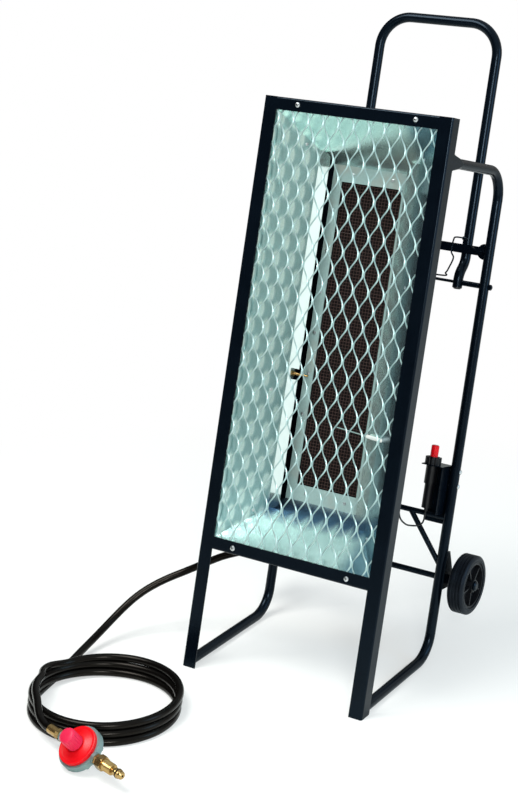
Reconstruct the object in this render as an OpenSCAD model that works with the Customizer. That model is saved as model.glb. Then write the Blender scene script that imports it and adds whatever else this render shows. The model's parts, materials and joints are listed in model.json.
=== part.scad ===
// Portable propane infrared heater on a folding-handle wheeled stand.
//
// The stand leans back: everything that follows its slope is drawn upright in
// "stand coordinates" (x across, y back from the front face, z up along the
// posts) and tipped by leaned(). The ground is z = 0 and x = 0 is the middle.

/* [Stand] */
// Overall width over the two front posts
stand_w = 405; // [380:1:440]
// Length of the front posts, measured up their slope
post_len = 1142; // [1100:1:1200]
// Backward lean of the posts, degrees
lean = 12.5; // [11:0.5:14]
// Width of the post's front flange
post_face = 28.5; // [26:0.5:32]
// Depth of the post's side flange
post_side = 30; // [26:1:34]
// Metal thickness of the posts and front bars
post_t = 2.5; // [2:0.5:3]
// Outer corner radius of the post section
post_round = 4; // [3:0.5:6]
// Height of the top and bottom bars
bar_h = 25; // [22:1:28]
// Depth of the bars' turned-in flange
bar_side = 18; // [14:1:22]
// Lower edge of the bottom bar, up the slope
bottom_bar_s = 243.5; // [230:0.5:260]

/* [Side loops] */
// Outer diameter of the loop and handle tube
tube_d = 20; // [18:0.5:22]
// Wall of the tube
tube_wall = 1.2; // [1:0.1:2]
// Distance of the rear tubes behind the front face
loop_depth = 294; // [280:1:310]
// Height of the loop's top tube, up the slope
loop_top_s = 1061; // [1030:1:1090]
// Bend radius of the tube's centre line
tube_bend = 58; // [50:1:65]
// Height of the flattened, flared tube end
flare_h = 31; // [26:1:34]
// Thickness of the flattened tube end
flare_t = 4; // [3:0.5:6]
// Diameter of the lower cross bar and its braces
cross_d = 11; // [9:1:13]
// Height of the cross bar, up the slope
cross_s = 358.5; // [350:0.5:370]
// Distance from the middle to where a brace leaves the cross bar
brace_x = 106; // [98:1:116]
// Drop of a brace along the rear tube
brace_drop = 101; // [80:1:115]

/* [Wheels] */
// Wheel diameter
wheel_d = 121; // [110:1:130]
// Wheel width
wheel_w = 34; // [30:1:38]
// Distance from the middle to the wheel's inner face
wheel_in = 223; // [218:1:230]
// Axle diameter
axle_d = 12; // [10:1:13]
// Distance of the axle behind the rear tubes
axle_e = 26; // [22:1:31]
// Height of the axle, up the slope
axle_s = 232; // [225:1:240]
// Running clearance of the wheel on the axle, radial
axle_gap = 0.08; // [0.05:0.01:0.1]
// Thickness of the axle bracket plates
gusset_t = 3; // [2:0.5:4]
// Radial thickness of the tyre
tyre_t = 13; // [10:1:16]
// Number of grooves around the tyre
tread_grooves = 4; // [3:1:5]
// Number of ribs in the dished wheel
wheel_ribs = 5; // [4:1:8]

/* [Handle] */
// Width of the handle between tube centres
handle_w = 264; // [250:1:275]
// Top of the handle's centre line, up the slope
handle_top_s = 1351; // [1300:1:1400]
// Bend radius of the handle's top corners
handle_bend = 64; // [55:1:70]
// Height of the pivot rod, up the slope
pivot_s = 831; // [815:1:845]
// Diameter of the pivot rod
pivot_d = 6; // [5:0.5:8]
// Running clearance of the handle on the rod, radial
pivot_gap = 0.08; // [0.05:0.01:0.1]
// Outer diameter of the spacer sleeves on the rod
spacer_d = 11; // [9:1:13]
// Height of the handle's set-back bend, up the slope
jog_s = 884; // [880:1:886]
// Bend radius of that set-back
jog_bend = 34; // [30:1:36]
// Middle of the strap, up the slope
strap_s = 899; // [895:1:905]
// Height of the strap
strap_h = 18; // [16:1:20]
// Thickness of the strap and its ears
strap_t = 3; // [2:0.5:4]
// Diameter of the round ears
ear_d = 32; // [28:1:36]
// Distance of a wing bolt from the side loop's inner face
wing_x = 17; // [14:1:20]
// Diameter of the wing bolts
wing_d = 5; // [4:0.5:6]
// Wire diameter of the bail
bail_d = 3.2; // [2.5:0.1:4]

/* [Head] */
// Thickness of the expanded metal guard
guard_t = 2; // [1.5:0.5:2.5]
// Diamond pitch across
mesh_x = 33; // [28:1:36]
// Diamond pitch up the slope
mesh_s = 68; // [60:1:72]
// Width of a strand
strand_w = 2.8; // [2.2:0.1:3.4]
// Length of the bond where strands join
bond_len = 11; // [8:1:14]
// How far the guard reaches behind the frame
guard_lap = 20; // [17:1:21]
// Sheet thickness of the reflector and the burner
sheet_t = 1; // [0.8:0.1:1.2]
// Sheet thickness of the rear shield
shield_t = 0.8; // [0.6:0.1:1]
// How far each reflector wall leans in
hood_inset = 88; // [80:1:92]
// Depth of the reflector, from the guard to the burner frame
hood_depth = 107.5; // [100:0.5:112]
// From the glowing window's ends to the end walls' rear edges
end_margin = 32.25; // [30:0.25:36]
// Depth at which the side walls turn into their lips
lip_depth = 80.5; // [75:0.5:85]
// Width of the side walls' lip
lip_w = 23; // [18:1:26]
// Width of the rear shield's slanted flange, in depth
shield_flange = 14; // [10:1:18]
// Distance of the shield's back panel behind the front face
shield_e = 172; // [168:1:180]
// Height of the rear shield
shield_h = 742; // [600:2:744]
// Columns of slots in the shield
shield_slots = 9; // [6:1:10]

/* [Burner] */
// Number of ceramic plaques in the column
plaques = 6; // [4:1:7]
// Width of the glowing window
glow_w = 134; // [125:1:140]
// Height of the glowing window
glow_h = 608; // [590:1:620]
// Thickness of a plaque
plaque_t = 13; // [11:1:15]
// Thickness of the burner's retaining frame
frame_t = 1.5; // [1:0.5:2]
// Wire diameter of the screen
screen_d = 0.9; // [0.7:0.1:1.2]
// Pitch of the screen's wires
screen_pitch = 6.4; // [6:0.1:8]
// Depth of the plenum behind its flange
plenum_e = 50; // [46:1:54]
// Outer diameter of the mixer tube
mixer_d = 32; // [28:1:34]
// Length of the mixer tube
mixer_len = 220; // [180:5:260]
// Width of the gas valve body
valve_w = 34; // [30:1:38]
// Height of the gas valve body
valve_h = 34; // [30:1:38]
// Depth of the gas valve body
valve_dp = 40; // [34:1:44]
// Underside of the gas valve, up the slope
valve_s = 240; // [232:1:244]
// Travel of the valve's safety button
valve_travel = 5; // [4:0.5:6]

/* [Igniter] */
// Distance of the igniter's axis from the side loop's inner face
igniter_x = 30; // [28:1:32]
// Distance of the igniter's axis in front of the rear tubes
igniter_e = 26; // [24:1:30]
// Top of the igniter bracket, up the slope
igniter_s = 464; // [455:1:470]
// Diameter of the igniter's upper body
igniter_d = 25; // [22:1:26]
// Diameter of the igniter's lower body
igniter_low_d = 20; // [17:1:21]
// Length of the upper body below the plate
igniter_up = 38; // [32:1:42]
// Length of the lower body
igniter_low = 50; // [44:1:54]
// Diameter of the igniter's nut
nut_d = 33; // [30:1:34]
// Height of the igniter's nut
nut_h = 14; // [10:1:16]
// Diameter of the push button
button_d = 16; // [12:0.5:17]
// Height of the button above the nut
button_h = 24; // [18:1:26]
// Travel of the push button
button_travel = 9; // [6:0.5:11]
// Sheet thickness of the igniter bracket
bracket_t = 2; // [1.5:0.5:2.5]
// Height of the igniter bracket
bracket_h = 121; // [110:1:125]

/* [Regulator] */
// Diameter of the regulator body
reg_d = 82; // [74:1:86]
// Thickness of the regulator body
reg_t = 18; // [15:1:20]
// Diameter of the red cap
cap_d = 75; // [66:1:78]
// Height of the red cap
cap_h = 12; // [10:1:14]
// Diameter of the adjuster knob
knob_d = 31; // [26:1:34]
// Height of the adjuster knob above the cap
knob_h = 32; // [26:1:36]
// Width across the flats of the cylinder nut
pol_hex = 24; // [20:1:26]
// Thread diameter of the cylinder nut
pol_d = 21; // [18:0.5:22]
// Running clearance of the nut on its nipple, radial
pol_gap = 0.08; // [0.05:0.01:0.1]

/* [Hose] */
// Outer diameter of the hose
hose_d = 15; // [13:0.5:17]
// Outer radius of the coil on the ground
coil_r = 151; // [140:1:160]
// Radial width of the coil
coil_band = 28; // [24:1:34]
// Height of the coil
coil_h = 46; // [44:1:50]

/* [Hidden] */
$fn = 48;

black = "#15171b";
zinc = "#c9cdd0";
steel = "#cfd8d6";
brass = "#b98d3e";
red = "#d81f2a";

eps = 0.01;      // overshoot of a cut
fit = 0.05;      // clearance of a fixed piece in its hole
tiny = 0.3;      // gap between pieces that may not touch

tube_r = tube_d / 2;
half_w = stand_w / 2;
win_x = half_w - post_face;              // half width of the window
win_lo = bottom_bar_s + bar_h;           // window's lower edge
win_hi = post_len - bar_h;               // window's upper edge
win_s = (win_lo + win_hi) / 2;           // middle of the window
win_h = (win_hi - win_lo) / 2;           // half height of the window
loop_x = half_w - post_t - tube_r;       // centre plane of a side loop
loop_in = loop_x - tube_r;               // its inner face
axle_y = loop_depth + axle_e;            // depth of the axle
igniter_y = loop_depth - igniter_e;      // depth of the igniter's axis
igniter_mid = loop_in - igniter_x;      // its place across

handle_e = loop_depth + tube_r + tiny + tube_r;
handle_back = handle_top_s * sin(lean) + handle_e * cos(lean) + tube_r;
mid_y = handle_back / 2;                 // puts the origin under the middle of the stand

// ---------------------------------------------------------------- helpers

// The ground frame, the stand's frame, and a stand point as seen from the ground
module placed() { translate([0, -mid_y, 0]) children(); }
module leaned() { placed() rotate([-lean, 0, 0]) children(); }
function world(p) = [p[0], p[1] * cos(lean) + p[2] * sin(lean), p[2] * cos(lean) - p[1] * sin(lean)];

// Both sides of the stand
module both() { children(); mirror([1, 0, 0]) children(); }

// Cylinders along x and y, from a start point
module rod_x(d, l) { rotate([0, 90, 0]) cylinder(d = d, h = l); }
module rod_y(d, l) { rotate([-90, 0, 0]) cylinder(d = d, h = l); }
module hex(flats, h) { cylinder(d = flats / cos(30), h = h, $fn = 6); }
module pan_head(d, h) {
    rotate_extrude()
        polygon([[0, 0], [d / 2, 0], [d / 2, h * 0.45], [d * 0.38, h * 0.85], [d * 0.2, h], [0, h]]);
}

// Outline of a bent sheet: points along one face, and its thickness
function unit(v) = v / norm(v);
function normal(v) = [-v[1], v[0]];
function bend_dir(p, i) =
    let (n = len(p),
         a = i == 0 ? undef : normal(unit(p[i] - p[i - 1])),
         b = i == n - 1 ? undef : normal(unit(p[i + 1] - p[i])))
    i == 0 ? b : i == n - 1 ? a : let (m = unit(a + b)) m / (m * b);
function strip(p, t) =
    concat(p, [for (i = [len(p) - 1 : -1 : 0]) p[i] + t * bend_dir(p, i)]);

// Section of a bent angle: corner at the origin, face along -x, side along +y
module angle_section(face, side) {
    translate([-face, 0]) square([face - post_round, post_t]);
    translate([-post_t, post_round]) square([post_t, side - post_round]);
    intersection() {
        difference() {
            translate([-post_round, post_round]) circle(post_round);
            translate([-post_round, post_round]) circle(post_round - post_t);
        }
        translate([-post_round, 0]) square(post_round);
    }
}

// Hollow tube: a straight along z that enters its bends at either end by a small lap,
// and a bend that starts along +z and turns to +x, swelled a hair so that it holds the laps
lap = 0.5;
swell = 0.05;
module pipe(l, before = lap, after = lap) {
    translate([0, 0, -before]) difference() {
        cylinder(d = tube_d, h = l + before + after);
        translate([0, 0, -1]) cylinder(d = tube_d - 2 * tube_wall, h = l + before + after + 2);
    }
}
module elbow(r, angle) {
    translate([r, 0, 0]) rotate([90, 0, 0]) mirror([1, 0, 0])
        rotate_extrude(angle = angle) translate([r, 0]) difference() {
            circle(r = tube_r + swell);
            circle(r = tube_r - tube_wall - swell);
        }
}

// A smooth route through hand-chosen points, and a round cord swept along it
function route_point(p, i, t) =
    let (n = len(p) - 1,
         a = p[max(i - 1, 0)], b = p[i], c = p[min(i + 1, n)], d = p[min(i + 2, n)])
    0.5 * (2 * b + (c - a) * t + (2 * a - 5 * b + 4 * c - d) * t * t + (3 * b - a - 3 * c + d) * t * t * t);
function route(p, steps) =
    [for (i = [0 : len(p) - 2])
        for (k = [0 : (i == len(p) - 2 ? steps : steps - 1)]) route_point(p, i, k / steps)];
function heading(q, i) = unit(q[min(i + 1, len(q) - 1)] - q[max(i - 1, 0)]);
function carried(q, u, i) = let (h = heading(q, i), v = u - (u * h) * h) unit(v);
function across(h) = abs(h[2]) < 0.9 ? unit(cross(h, [0, 0, 1])) : unit(cross(h, [1, 0, 0]));
function sides_of(q) =
    [for (i = 0, u = across(heading(q, 0)); i < len(q); i = i + 1, u = i < len(q) ? carried(q, u, i) : u) u];
module cord(points, d, sides, steps) {
    q = route(points, steps);
    u = sides_of(q);
    n = len(q);
    rings = [for (i = [0 : n - 1]) let (h = heading(q, i), w = cross(h, u[i]))
        for (k = [0 : sides - 1]) q[i] + d / 2 * (cos(360 * k / sides) * u[i] + sin(360 * k / sides) * w)];
    walls = [for (i = [0 : n - 2]) for (k = [0 : sides - 1])
        let (a = i * sides + k, b = i * sides + (k + 1) % sides)
        each [[a, b, a + sides], [b, b + sides, a + sides]]];
    caps = [[for (k = [sides - 1 : -1 : 0]) k], [for (k = [0 : sides - 1]) (n - 1) * sides + k]];
    polyhedron(rings, concat(walls, caps), convexity = 4);
}

// ---------------------------------------------------------------- front frame

screw_x = 127;                       // face screws, from the middle
screw_d = 4.8;
screw_rows = [bottom_bar_s + 12, post_len - 12];

module post() {
    color(black) difference() {
        leaned() translate([half_w, 0, -20])
            linear_extrude(post_len + 20) angle_section(post_face, post_side);
        placed() translate([0, -50, -100]) cube([half_w + 50, 200, 100]);
    }
}
module post_right() { post(); }
module post_left() { mirror([1, 0, 0]) post(); }

// A bar fills the gap between the posts: its turned-in flange is at the outer edge
module front_bar() {
    rotate([0, 90, 0]) translate([0, 0, -win_x]) linear_extrude(2 * win_x) mirror([1, 0])
        angle_section(bar_h, bar_side);
}
module screw_holes(d, e, t) {
    for (s = screw_rows, side = [-1, 1]) translate([side * screw_x, e - 1, s]) rod_y(d, t + 2);
}
module top_bar() {
    color(black) leaned() difference() {
        translate([0, 0, post_len]) front_bar();
        screw_holes(screw_d + 2 * fit, 0, post_t);
    }
}
module bottom_bar() {
    color(black) leaned() difference() {
        translate([0, 0, bottom_bar_s]) mirror([0, 0, 1]) front_bar();
        screw_holes(screw_d + 2 * fit, 0, post_t);
    }
}
module face_screws() {
    color(zinc) leaned() for (s = screw_rows, side = [-1, 1]) translate([side * screw_x, 0, s]) {
        rotate([90, 0, 0]) pan_head(10, 3.4);
        rod_y(screw_d, hood_e + sheet_t + 5);
        translate([0, hood_e + sheet_t, 0]) rotate([-90, 0, 0]) hex(8, 4);
    }
}

// ---------------------------------------------------------------- guard

guard_x = win_x + guard_lap;
guard_lo = win_lo - guard_lap;
guard_hi = win_hi + guard_lap;
hole_w = mesh_x / 2 - strand_w * 0.57;       // half width of a diamond
hole_h = (mesh_s - bond_len) / 2;            // half height of a diamond
hole_b = strand_w;                           // half length of its upright side
cols = ceil(win_x / mesh_x) + 1;
rows = ceil(win_h / mesh_s) + 1;

module diamond() {
    polygon([[0, hole_h], [hole_w, hole_b], [hole_w, -hole_b],
             [0, -hole_h], [-hole_w, -hole_b], [-hole_w, hole_b]]);
}
module guard() {
    rim = 4;
    color(steel) leaned() translate([0, post_t + guard_t, 0]) rotate([90, 0, 0]) linear_extrude(guard_t)
        difference() {
            translate([-guard_x, guard_lo]) square([2 * guard_x, guard_hi - guard_lo]);
            intersection() {
                translate([-win_x - rim, win_lo - rim]) square([2 * (win_x + rim), 2 * (win_h + rim)]);
                for (i = [-cols : cols], j = [-rows : rows]) translate([0, win_s]) {
                    translate([i * mesh_x, j * mesh_s]) diamond();
                    translate([(i + 0.5) * mesh_x, (j + 0.5) * mesh_s]) diamond();
                }
            }
            for (s = screw_rows, side = [-1, 1])
                translate([side * screw_x, s]) circle(d = screw_d + 2 * fit);
        }
}

// ---------------------------------------------------------------- reflector

hood_e = post_t + guard_t;                   // the reflector's front plane
slope = hood_inset / hood_depth;             // how fast its side walls close in
end_in = glow_h / 2 + end_margin;            // half height between the end walls' rear edges
end_slope = (win_h - end_in) / hood_depth;   // how fast they close in
function wall_in(e, k = slope) = (e - hood_e) * k;                       // closed in at depth e
function wall_off(k = slope) = sheet_t * sqrt(1 + k * k);                // a wall's thickness, across
lip_e = hood_e + lip_depth;
burner_e = hood_e + hood_depth;              // front of the burner frame's lips
side_flange = guard_lap;

// Keeps a wall inside the mitred corners with two walls that close in by k, half apart; spread
// widens it by the sheet it butts against
module mitre(half, k, spread = 0) {
    far = burner_e + 2;
    p = [[0, half + spread], [hood_e, half + spread], [far, half - wall_in(far, k) + spread]];
    rotate([90, 0, 90]) linear_extrude(2 * post_len, center = true)
        polygon(concat(p, [for (i = [2 : -1 : 0]) [p[i][0], -p[i][1]]]));
}
rivet_d = 3.2;
rivet_e = lip_e - 24;
rivet_rows = [for (k = [-3 : 2 : 3]) k / 3 * (shield_h / 2 - 5)];
// At each rivet, with z pointing straight out of the slanted side wall
module at_rivets() {
    for (s = rivet_rows) translate([win_x - wall_in(rivet_e), rivet_e, s]) rotate([0, 0, atan(slope)])
        rotate([0, 90, 0]) children();
}
module side_reflector() {
    far = win_x - wall_in(lip_e);
    corner = 18;
    path = [[win_x + side_flange, hood_e], [win_x, hood_e], [far, lip_e]];
    lip_h = win_h - wall_in(lip_e, end_slope);
    translate([0, 0, win_s]) difference() {
        union() {
            intersection() {
                linear_extrude(2 * win_h + 2 * sheet_t, center = true) polygon(strip(path, -sheet_t));
                mitre(win_h, end_slope, wall_off(end_slope) - sheet_t * end_slope);
            }
            translate([0, lip_e + sheet_t, 0]) rotate([90, 0, 0]) linear_extrude(sheet_t) {
                translate([far - lip_w, corner - lip_h]) square([lip_w + wall_off(), 2 * (lip_h - corner)]);
                translate([far - lip_w + corner, -lip_h]) square([lip_w - corner + wall_off(), 2 * lip_h]);
                for (k = [-1, 1]) translate([far - lip_w + corner, k * (lip_h - corner)]) circle(corner);
            }
        }
        at_rivets() cylinder(d = rivet_d + 2 * fit, h = 6, center = true);
    }
}
module reflector_right() {
    color(steel) leaned() difference() {
        side_reflector();
        electrode_axis() translate([-10, 0, 0]) rod_x(ceramic_d + 2 * fit, 80);
    }
}

// The left lip is notched for the thermocouple and bent back into a tab
tc_e = lip_e + 8;
tc_s = 607;
tc_d = 6;
tab_x = win_x - wall_in(lip_e) - 3;          // outer face of the tab
tab_h = 22;
module reflector_left() {
    color(steel) leaned() difference() {
        union() {
            difference() {
                mirror([1, 0, 0]) side_reflector();
                translate([-tab_x, lip_e - 1, tc_s - tab_h / 2]) cube([lip_w, 3, tab_h]);
            }
            translate([-tab_x, lip_e, tc_s - tab_h / 2]) cube([sheet_t, 16, tab_h]);
        }
        translate([-tab_x - 1, tc_e, tc_s]) rod_x(tc_d + 2 * fit, sheet_t + 2);
    }
}

end_lip = 14;                                // where the burner frame is screwed on
end_screw_x = 44;
end_screw_s = end_in + end_lip * 0.55;
burner_screw_d = 3.5;
module end_reflector() {
    path = [[win_h + side_flange, hood_e], [win_h, hood_e], [end_in, burner_e],
            [end_in + end_lip, burner_e]];
    edge = win_h + wall_off(end_slope) - sheet_t * end_slope;
    difference() {
        union() {
            intersection() {
                rotate([0, -90, 0]) linear_extrude(2 * win_x, center = true)
                    polygon(strip([path[1], path[2]], -sheet_t));
                rotate([0, 90, 0]) mitre(win_x, slope);
            }
            rotate([0, -90, 0]) linear_extrude(2 * (win_x + side_flange), center = true)
                polygon(strip([path[0], [edge, hood_e]], -sheet_t));
            translate([0, 0, end_in + sheet_t * 0.5]) rotate([0, -90, 0])
                linear_extrude(2 * (win_x - hood_inset) - 2, center = true)
                translate([0, burner_e]) square([end_lip, sheet_t]);
        }
        for (side = [-1, 1]) {
            translate([side * screw_x, hood_e - 1, screw_rows[1] - win_s])
                rod_y(screw_d + 2 * fit, sheet_t + 2);
            translate([side * end_screw_x, burner_e - 1, end_screw_s]) rod_y(burner_screw_d + 2 * fit, 4);
        }
    }
}
module reflector_top() { color(steel) leaned() translate([0, 0, win_s]) end_reflector(); }
module reflector_bottom() {
    color(steel) leaned() translate([0, 0, win_s]) mirror([0, 0, 1]) end_reflector();
}

// ---------------------------------------------------------------- rear shield

shield_fold = lip_e - 17;
function shield_x(e) = win_x - wall_in(e) + wall_off(); // inner face of the shield's side
module rear_shield() {
    half = [[shield_x(shield_fold - shield_flange), shield_fold - shield_flange],
            [shield_x(shield_fold), shield_fold], [shield_x(shield_fold), shield_e]];
    path = concat(half, [for (i = [2 : -1 : 0]) [-half[i][0], half[i][1]]]);
    slot = [7, 46];
    pitch = 2 * (shield_x(shield_fold) - 10) / shield_slots;
    color(black) leaned() difference() {
        translate([0, 0, win_s]) difference() {
            linear_extrude(shield_h, center = true) polygon(strip(path, -shield_t));
            for (i = [0 : shield_slots - 1], j = [-4 : 4])
                translate([(i - (shield_slots - 1) / 2) * pitch - slot[0] / 2,
                           shield_e - 1, j * 76 - slot[1] / 2])
                    cube([slot[0], shield_t + 2, slot[1]]);
            both() at_rivets() cylinder(d = rivet_d + 2 * fit, h = 8, center = true);
        }
        electrode_axis() translate([20, 0, 0]) rod_x(ceramic_d + 2, 50);
    }
}
module shield_screws() {
    color(zinc) leaned() translate([0, 0, win_s]) both() at_rivets() {
        translate([0, 0, sheet_t + shield_t]) cylinder(d = 5.5, h = 1.5);
        translate([0, 0, -eps]) cylinder(d = rivet_d, h = sheet_t + shield_t + 2 * eps);
        mirror([0, 0, 1]) pan_head(6.5, 1.6);
    }
}

// ---------------------------------------------------------------- burner

frame_e = burner_e + sheet_t;
frame_x = glow_w / 2 + 21;
frame_h = glow_h / 2 + 48;
flange_e = frame_e + frame_t;
hem = 0.1;                                   // how far the screen's wires lie inside its rim
screen_t = 2 * screen_d + 3 * hem;
plaque_e = flange_e + screen_t;
pad = 4;                                     // how far a plaque reaches behind the frame
box_x = glow_w / 2 + pad + tiny;
box_h = glow_h / 2 + pad + tiny;
mixer_e = flange_e + plenum_e - sheet_t - 0.5 - mixer_d / 2;
burner_holes = concat(
    [for (k = [-3 : 3], side = [-1, 1]) [side * (glow_w / 2 + 11), k * 82, frame_e]],
    [for (k = [-1, 1], side = [-1, 1]) [side * end_screw_x, k * (glow_h / 2 + 16), frame_e]],
    [for (k = [-1, 1], side = [-1, 1]) [side * end_screw_x, k * end_screw_s, burner_e]]);

// A sheet facing front, drawn across and up, from depth e
module facing(e, t) { translate([0, e + t, win_s]) rotate([90, 0, 0]) linear_extrude(t) children(); }
module centred(x, h) { translate([-x, -h]) square([2 * x, 2 * h]); }
module holes_2d() { for (p = burner_holes) translate([p[0], p[1]]) circle(d = burner_screw_d + 2 * fit); }

module burner_frame() {
    color(steel) leaned() facing(frame_e, frame_t) difference() {
        centred(frame_x, frame_h);
        centred(glow_w / 2, glow_h / 2);
        holes_2d();
        for (k = [-1, 1], side = [-1, 1])
            translate([side * (glow_w / 2 + 2), k * (glow_h / 2 + 5)]) circle(d = 4);
    }
}
module burner_screen() {
    nx = floor(glow_w / screen_pitch / 2);
    ns = floor(glow_h / screen_pitch / 2);
    color(steel) leaned() {
        facing(flange_e, screen_t) difference() {
            centred(box_x - tiny, box_h - tiny);
            centred(glow_w / 2 + 1, glow_h / 2 + 1);
        }
        for (i = [-nx : nx])
            translate([i * screen_pitch, flange_e + hem + screen_d / 2, win_s - glow_h / 2 - 2])
                cylinder(d = screen_d, h = glow_h + 4);
        for (i = [-ns : ns])
            translate([-glow_w / 2 - 2, flange_e + screen_t - hem - screen_d / 2, win_s + i * screen_pitch])
                rod_x(screen_d, glow_w + 4);
    }
}
module burner_plaques() {
    h = 2 * (box_h - tiny) / plaques;
    color("#8a5a45") leaned() for (i = [0 : plaques - 1])
        translate([tiny - box_x, plaque_e, win_s - box_h + tiny + i * h])
            cube([2 * (box_x - tiny), plaque_t, h - 0.5]);
}
module burner_plenum() {
    back = flange_e + plenum_e;
    color(steel) leaned() difference() {
        union() {
            facing(flange_e, sheet_t) difference() {
                centred(frame_x, frame_h);
                centred(box_x, box_h);
                holes_2d();
            }
            facing(flange_e, plenum_e) difference() {
                centred(box_x + sheet_t, box_h + sheet_t);
                centred(box_x, box_h);
            }
            facing(back - sheet_t, sheet_t) centred(box_x + sheet_t, box_h + sheet_t);
            facing(plaque_e + plaque_t, sheet_t) difference() {
                centred(box_x, box_h);
                centred(box_x - 5, box_h - 5);
            }
        }
        translate([0, mixer_e, win_s - box_h - 5]) cylinder(d = mixer_d + 2 * fit, h = 8);
    }
}
module burner_screws() {
    color(zinc) leaned() for (p = burner_holes) translate([p[0], p[2], win_s + p[1]]) {
        rotate([90, 0, 0]) pan_head(7, 2.4);
        rod_y(burner_screw_d, flange_e + sheet_t - p[2] + 4);
        translate([0, flange_e + sheet_t - p[2], 0]) rotate([-90, 0, 0]) hex(6, 2.5);
    }
}

// Gas flows up from the valve through the orifice into the mixer tube
jet_s = valve_s + valve_h;
jet_d = 12;
mixer_s = jet_s + 14;
cap_t = 1.5;
module mixer_tube() {
    color(steel) leaned() translate([0, mixer_e, mixer_s]) difference() {
        cylinder(d = mixer_d, h = mixer_len);
        translate([0, 0, cap_t]) cylinder(d = mixer_d - 2.4, h = mixer_len);
        translate([0, 0, -1]) cylinder(d = jet_d + 2 * fit, h = 4);
        for (k = [0 : 3]) rotate(k * 90 + 45) translate([5, -6, 8]) cube([mixer_d, 12, 20]);
    }
}
thread_d = 9;
module orifice() {
    color(brass) leaned() translate([0, mixer_e, jet_s]) difference() {
        union() {
            translate([0, 0, -8]) cylinder(d = thread_d, h = 9);
            hex(15, 12);
            cylinder(d = jet_d, h = 24);
            translate([0, 0, 24]) cylinder(d1 = jet_d, d2 = 6, h = 5);
        }
        translate([0, 0, -9]) cylinder(d = 1.6, h = 40);
    }
}
module rounded(x, y, r) {
    translate([-x / 2 + r, -y / 2]) square([x - 2 * r, y]);
    translate([-x / 2, -y / 2 + r]) square([x, y - 2 * r]);
    for (i = [-1, 1], j = [-1, 1]) translate([i * (x / 2 - r), j * (y / 2 - r)]) circle(r);
}
inlet_s = valve_s + 14;                      // gas inlet, on the valve's left side
inlet_boss = 13;
inlet_d = 12;
stem_d = 8;
stem_gap = 0.1;
valve_back = mixer_e + valve_dp / 2;
port_x = -7;                                 // thermocouple port, on the valve's front
port_len = 7;
port_e = mixer_e - valve_dp / 2 - port_len;
port_s = valve_s + valve_h / 2;
lead_d = 2.6;
module gas_valve() {
    color(zinc) leaned() difference() {
        union() {
            translate([0, mixer_e, valve_s]) linear_extrude(valve_h) rounded(valve_w, valve_dp, 4);
            translate([-valve_w / 2 - inlet_boss, mixer_e, inlet_s]) rod_x(20, inlet_boss + 5);
            translate([port_x, port_e, port_s]) rod_y(11, port_len + 5);
            translate([0, valve_back - 5, port_s]) rod_y(22, 7);
        }
        translate([0, mixer_e, jet_s - 9]) cylinder(d = thread_d + 2 * fit, h = 10);
        translate([-valve_w / 2 - inlet_boss - 1, mixer_e, inlet_s])
            rod_x(inlet_d + 2 * fit, inlet_boss + 1);
        translate([port_x, port_e - 1, port_s]) rod_y(lead_d + 2 * fit + 1, 8);
        translate([0, valve_back - 18, port_s]) rod_y(stem_d + 2 * stem_gap, 30);
    }
}
module valve_button() {
    rest = valve_back + 2 + valve_travel + tiny;
    color(red) leaned() translate([0, rest, port_s]) {
        translate([0, -valve_travel - 14, 0]) rod_y(stem_d, valve_travel + 15);
        rod_y(17, 6);
        translate([0, 6, 0]) rotate([-90, 0, 0]) cylinder(d1 = 17, d2 = 14, h = 2.5);
    }
}

// ---------------------------------------------------------------- flame safety and ignition

tc_out = tab_x + 4;                          // where the copper lead starts
module thermocouple() {
    color(brass) leaned() translate([0, tc_e, tc_s]) {
        translate([-tc_out, 0, 0]) rod_x(tc_d, 22);
        translate([-tc_out, 0, 0]) rotate([0, 90, 0]) hex(10, 4);
        translate([-tab_x + sheet_t, 0, 0]) rotate([0, 90, 0]) hex(10, 5);
        translate([22 - tc_out, 0, 0]) rod_x(4, 18);
        translate([40 - tc_out, 0, 0]) sphere(d = 4);
    }
}
tc_route = [
    [-tc_out, tc_e, tc_s], [-tc_out - 4, tc_e + 1, tc_s - 0.5], [-tc_out - 9, 98, 604],
    [-tc_out - 11, 106, 597], [-tc_out - 11, 118, 580], [-tc_out - 10.5, 128, 550],
    [-tc_out - 10, 132, 500], [-tc_out - 10, 134, 440], [-tc_out - 9, 136, 380],
    [-tc_out - 5, 138, 330], [-100, 138, 298], [-76, 134, 280], [-52, 122, 268], [-35, 107, 261],
    [-20, 99, 257.5], [-10.5, 101, port_s], [port_x, 109, port_s], [port_x, port_e + 2, port_s],
];
module thermocouple_lead() { color("#a8683f") placed() cord([for (p = tc_route) world(p)], lead_d, 8, 3); }

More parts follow.
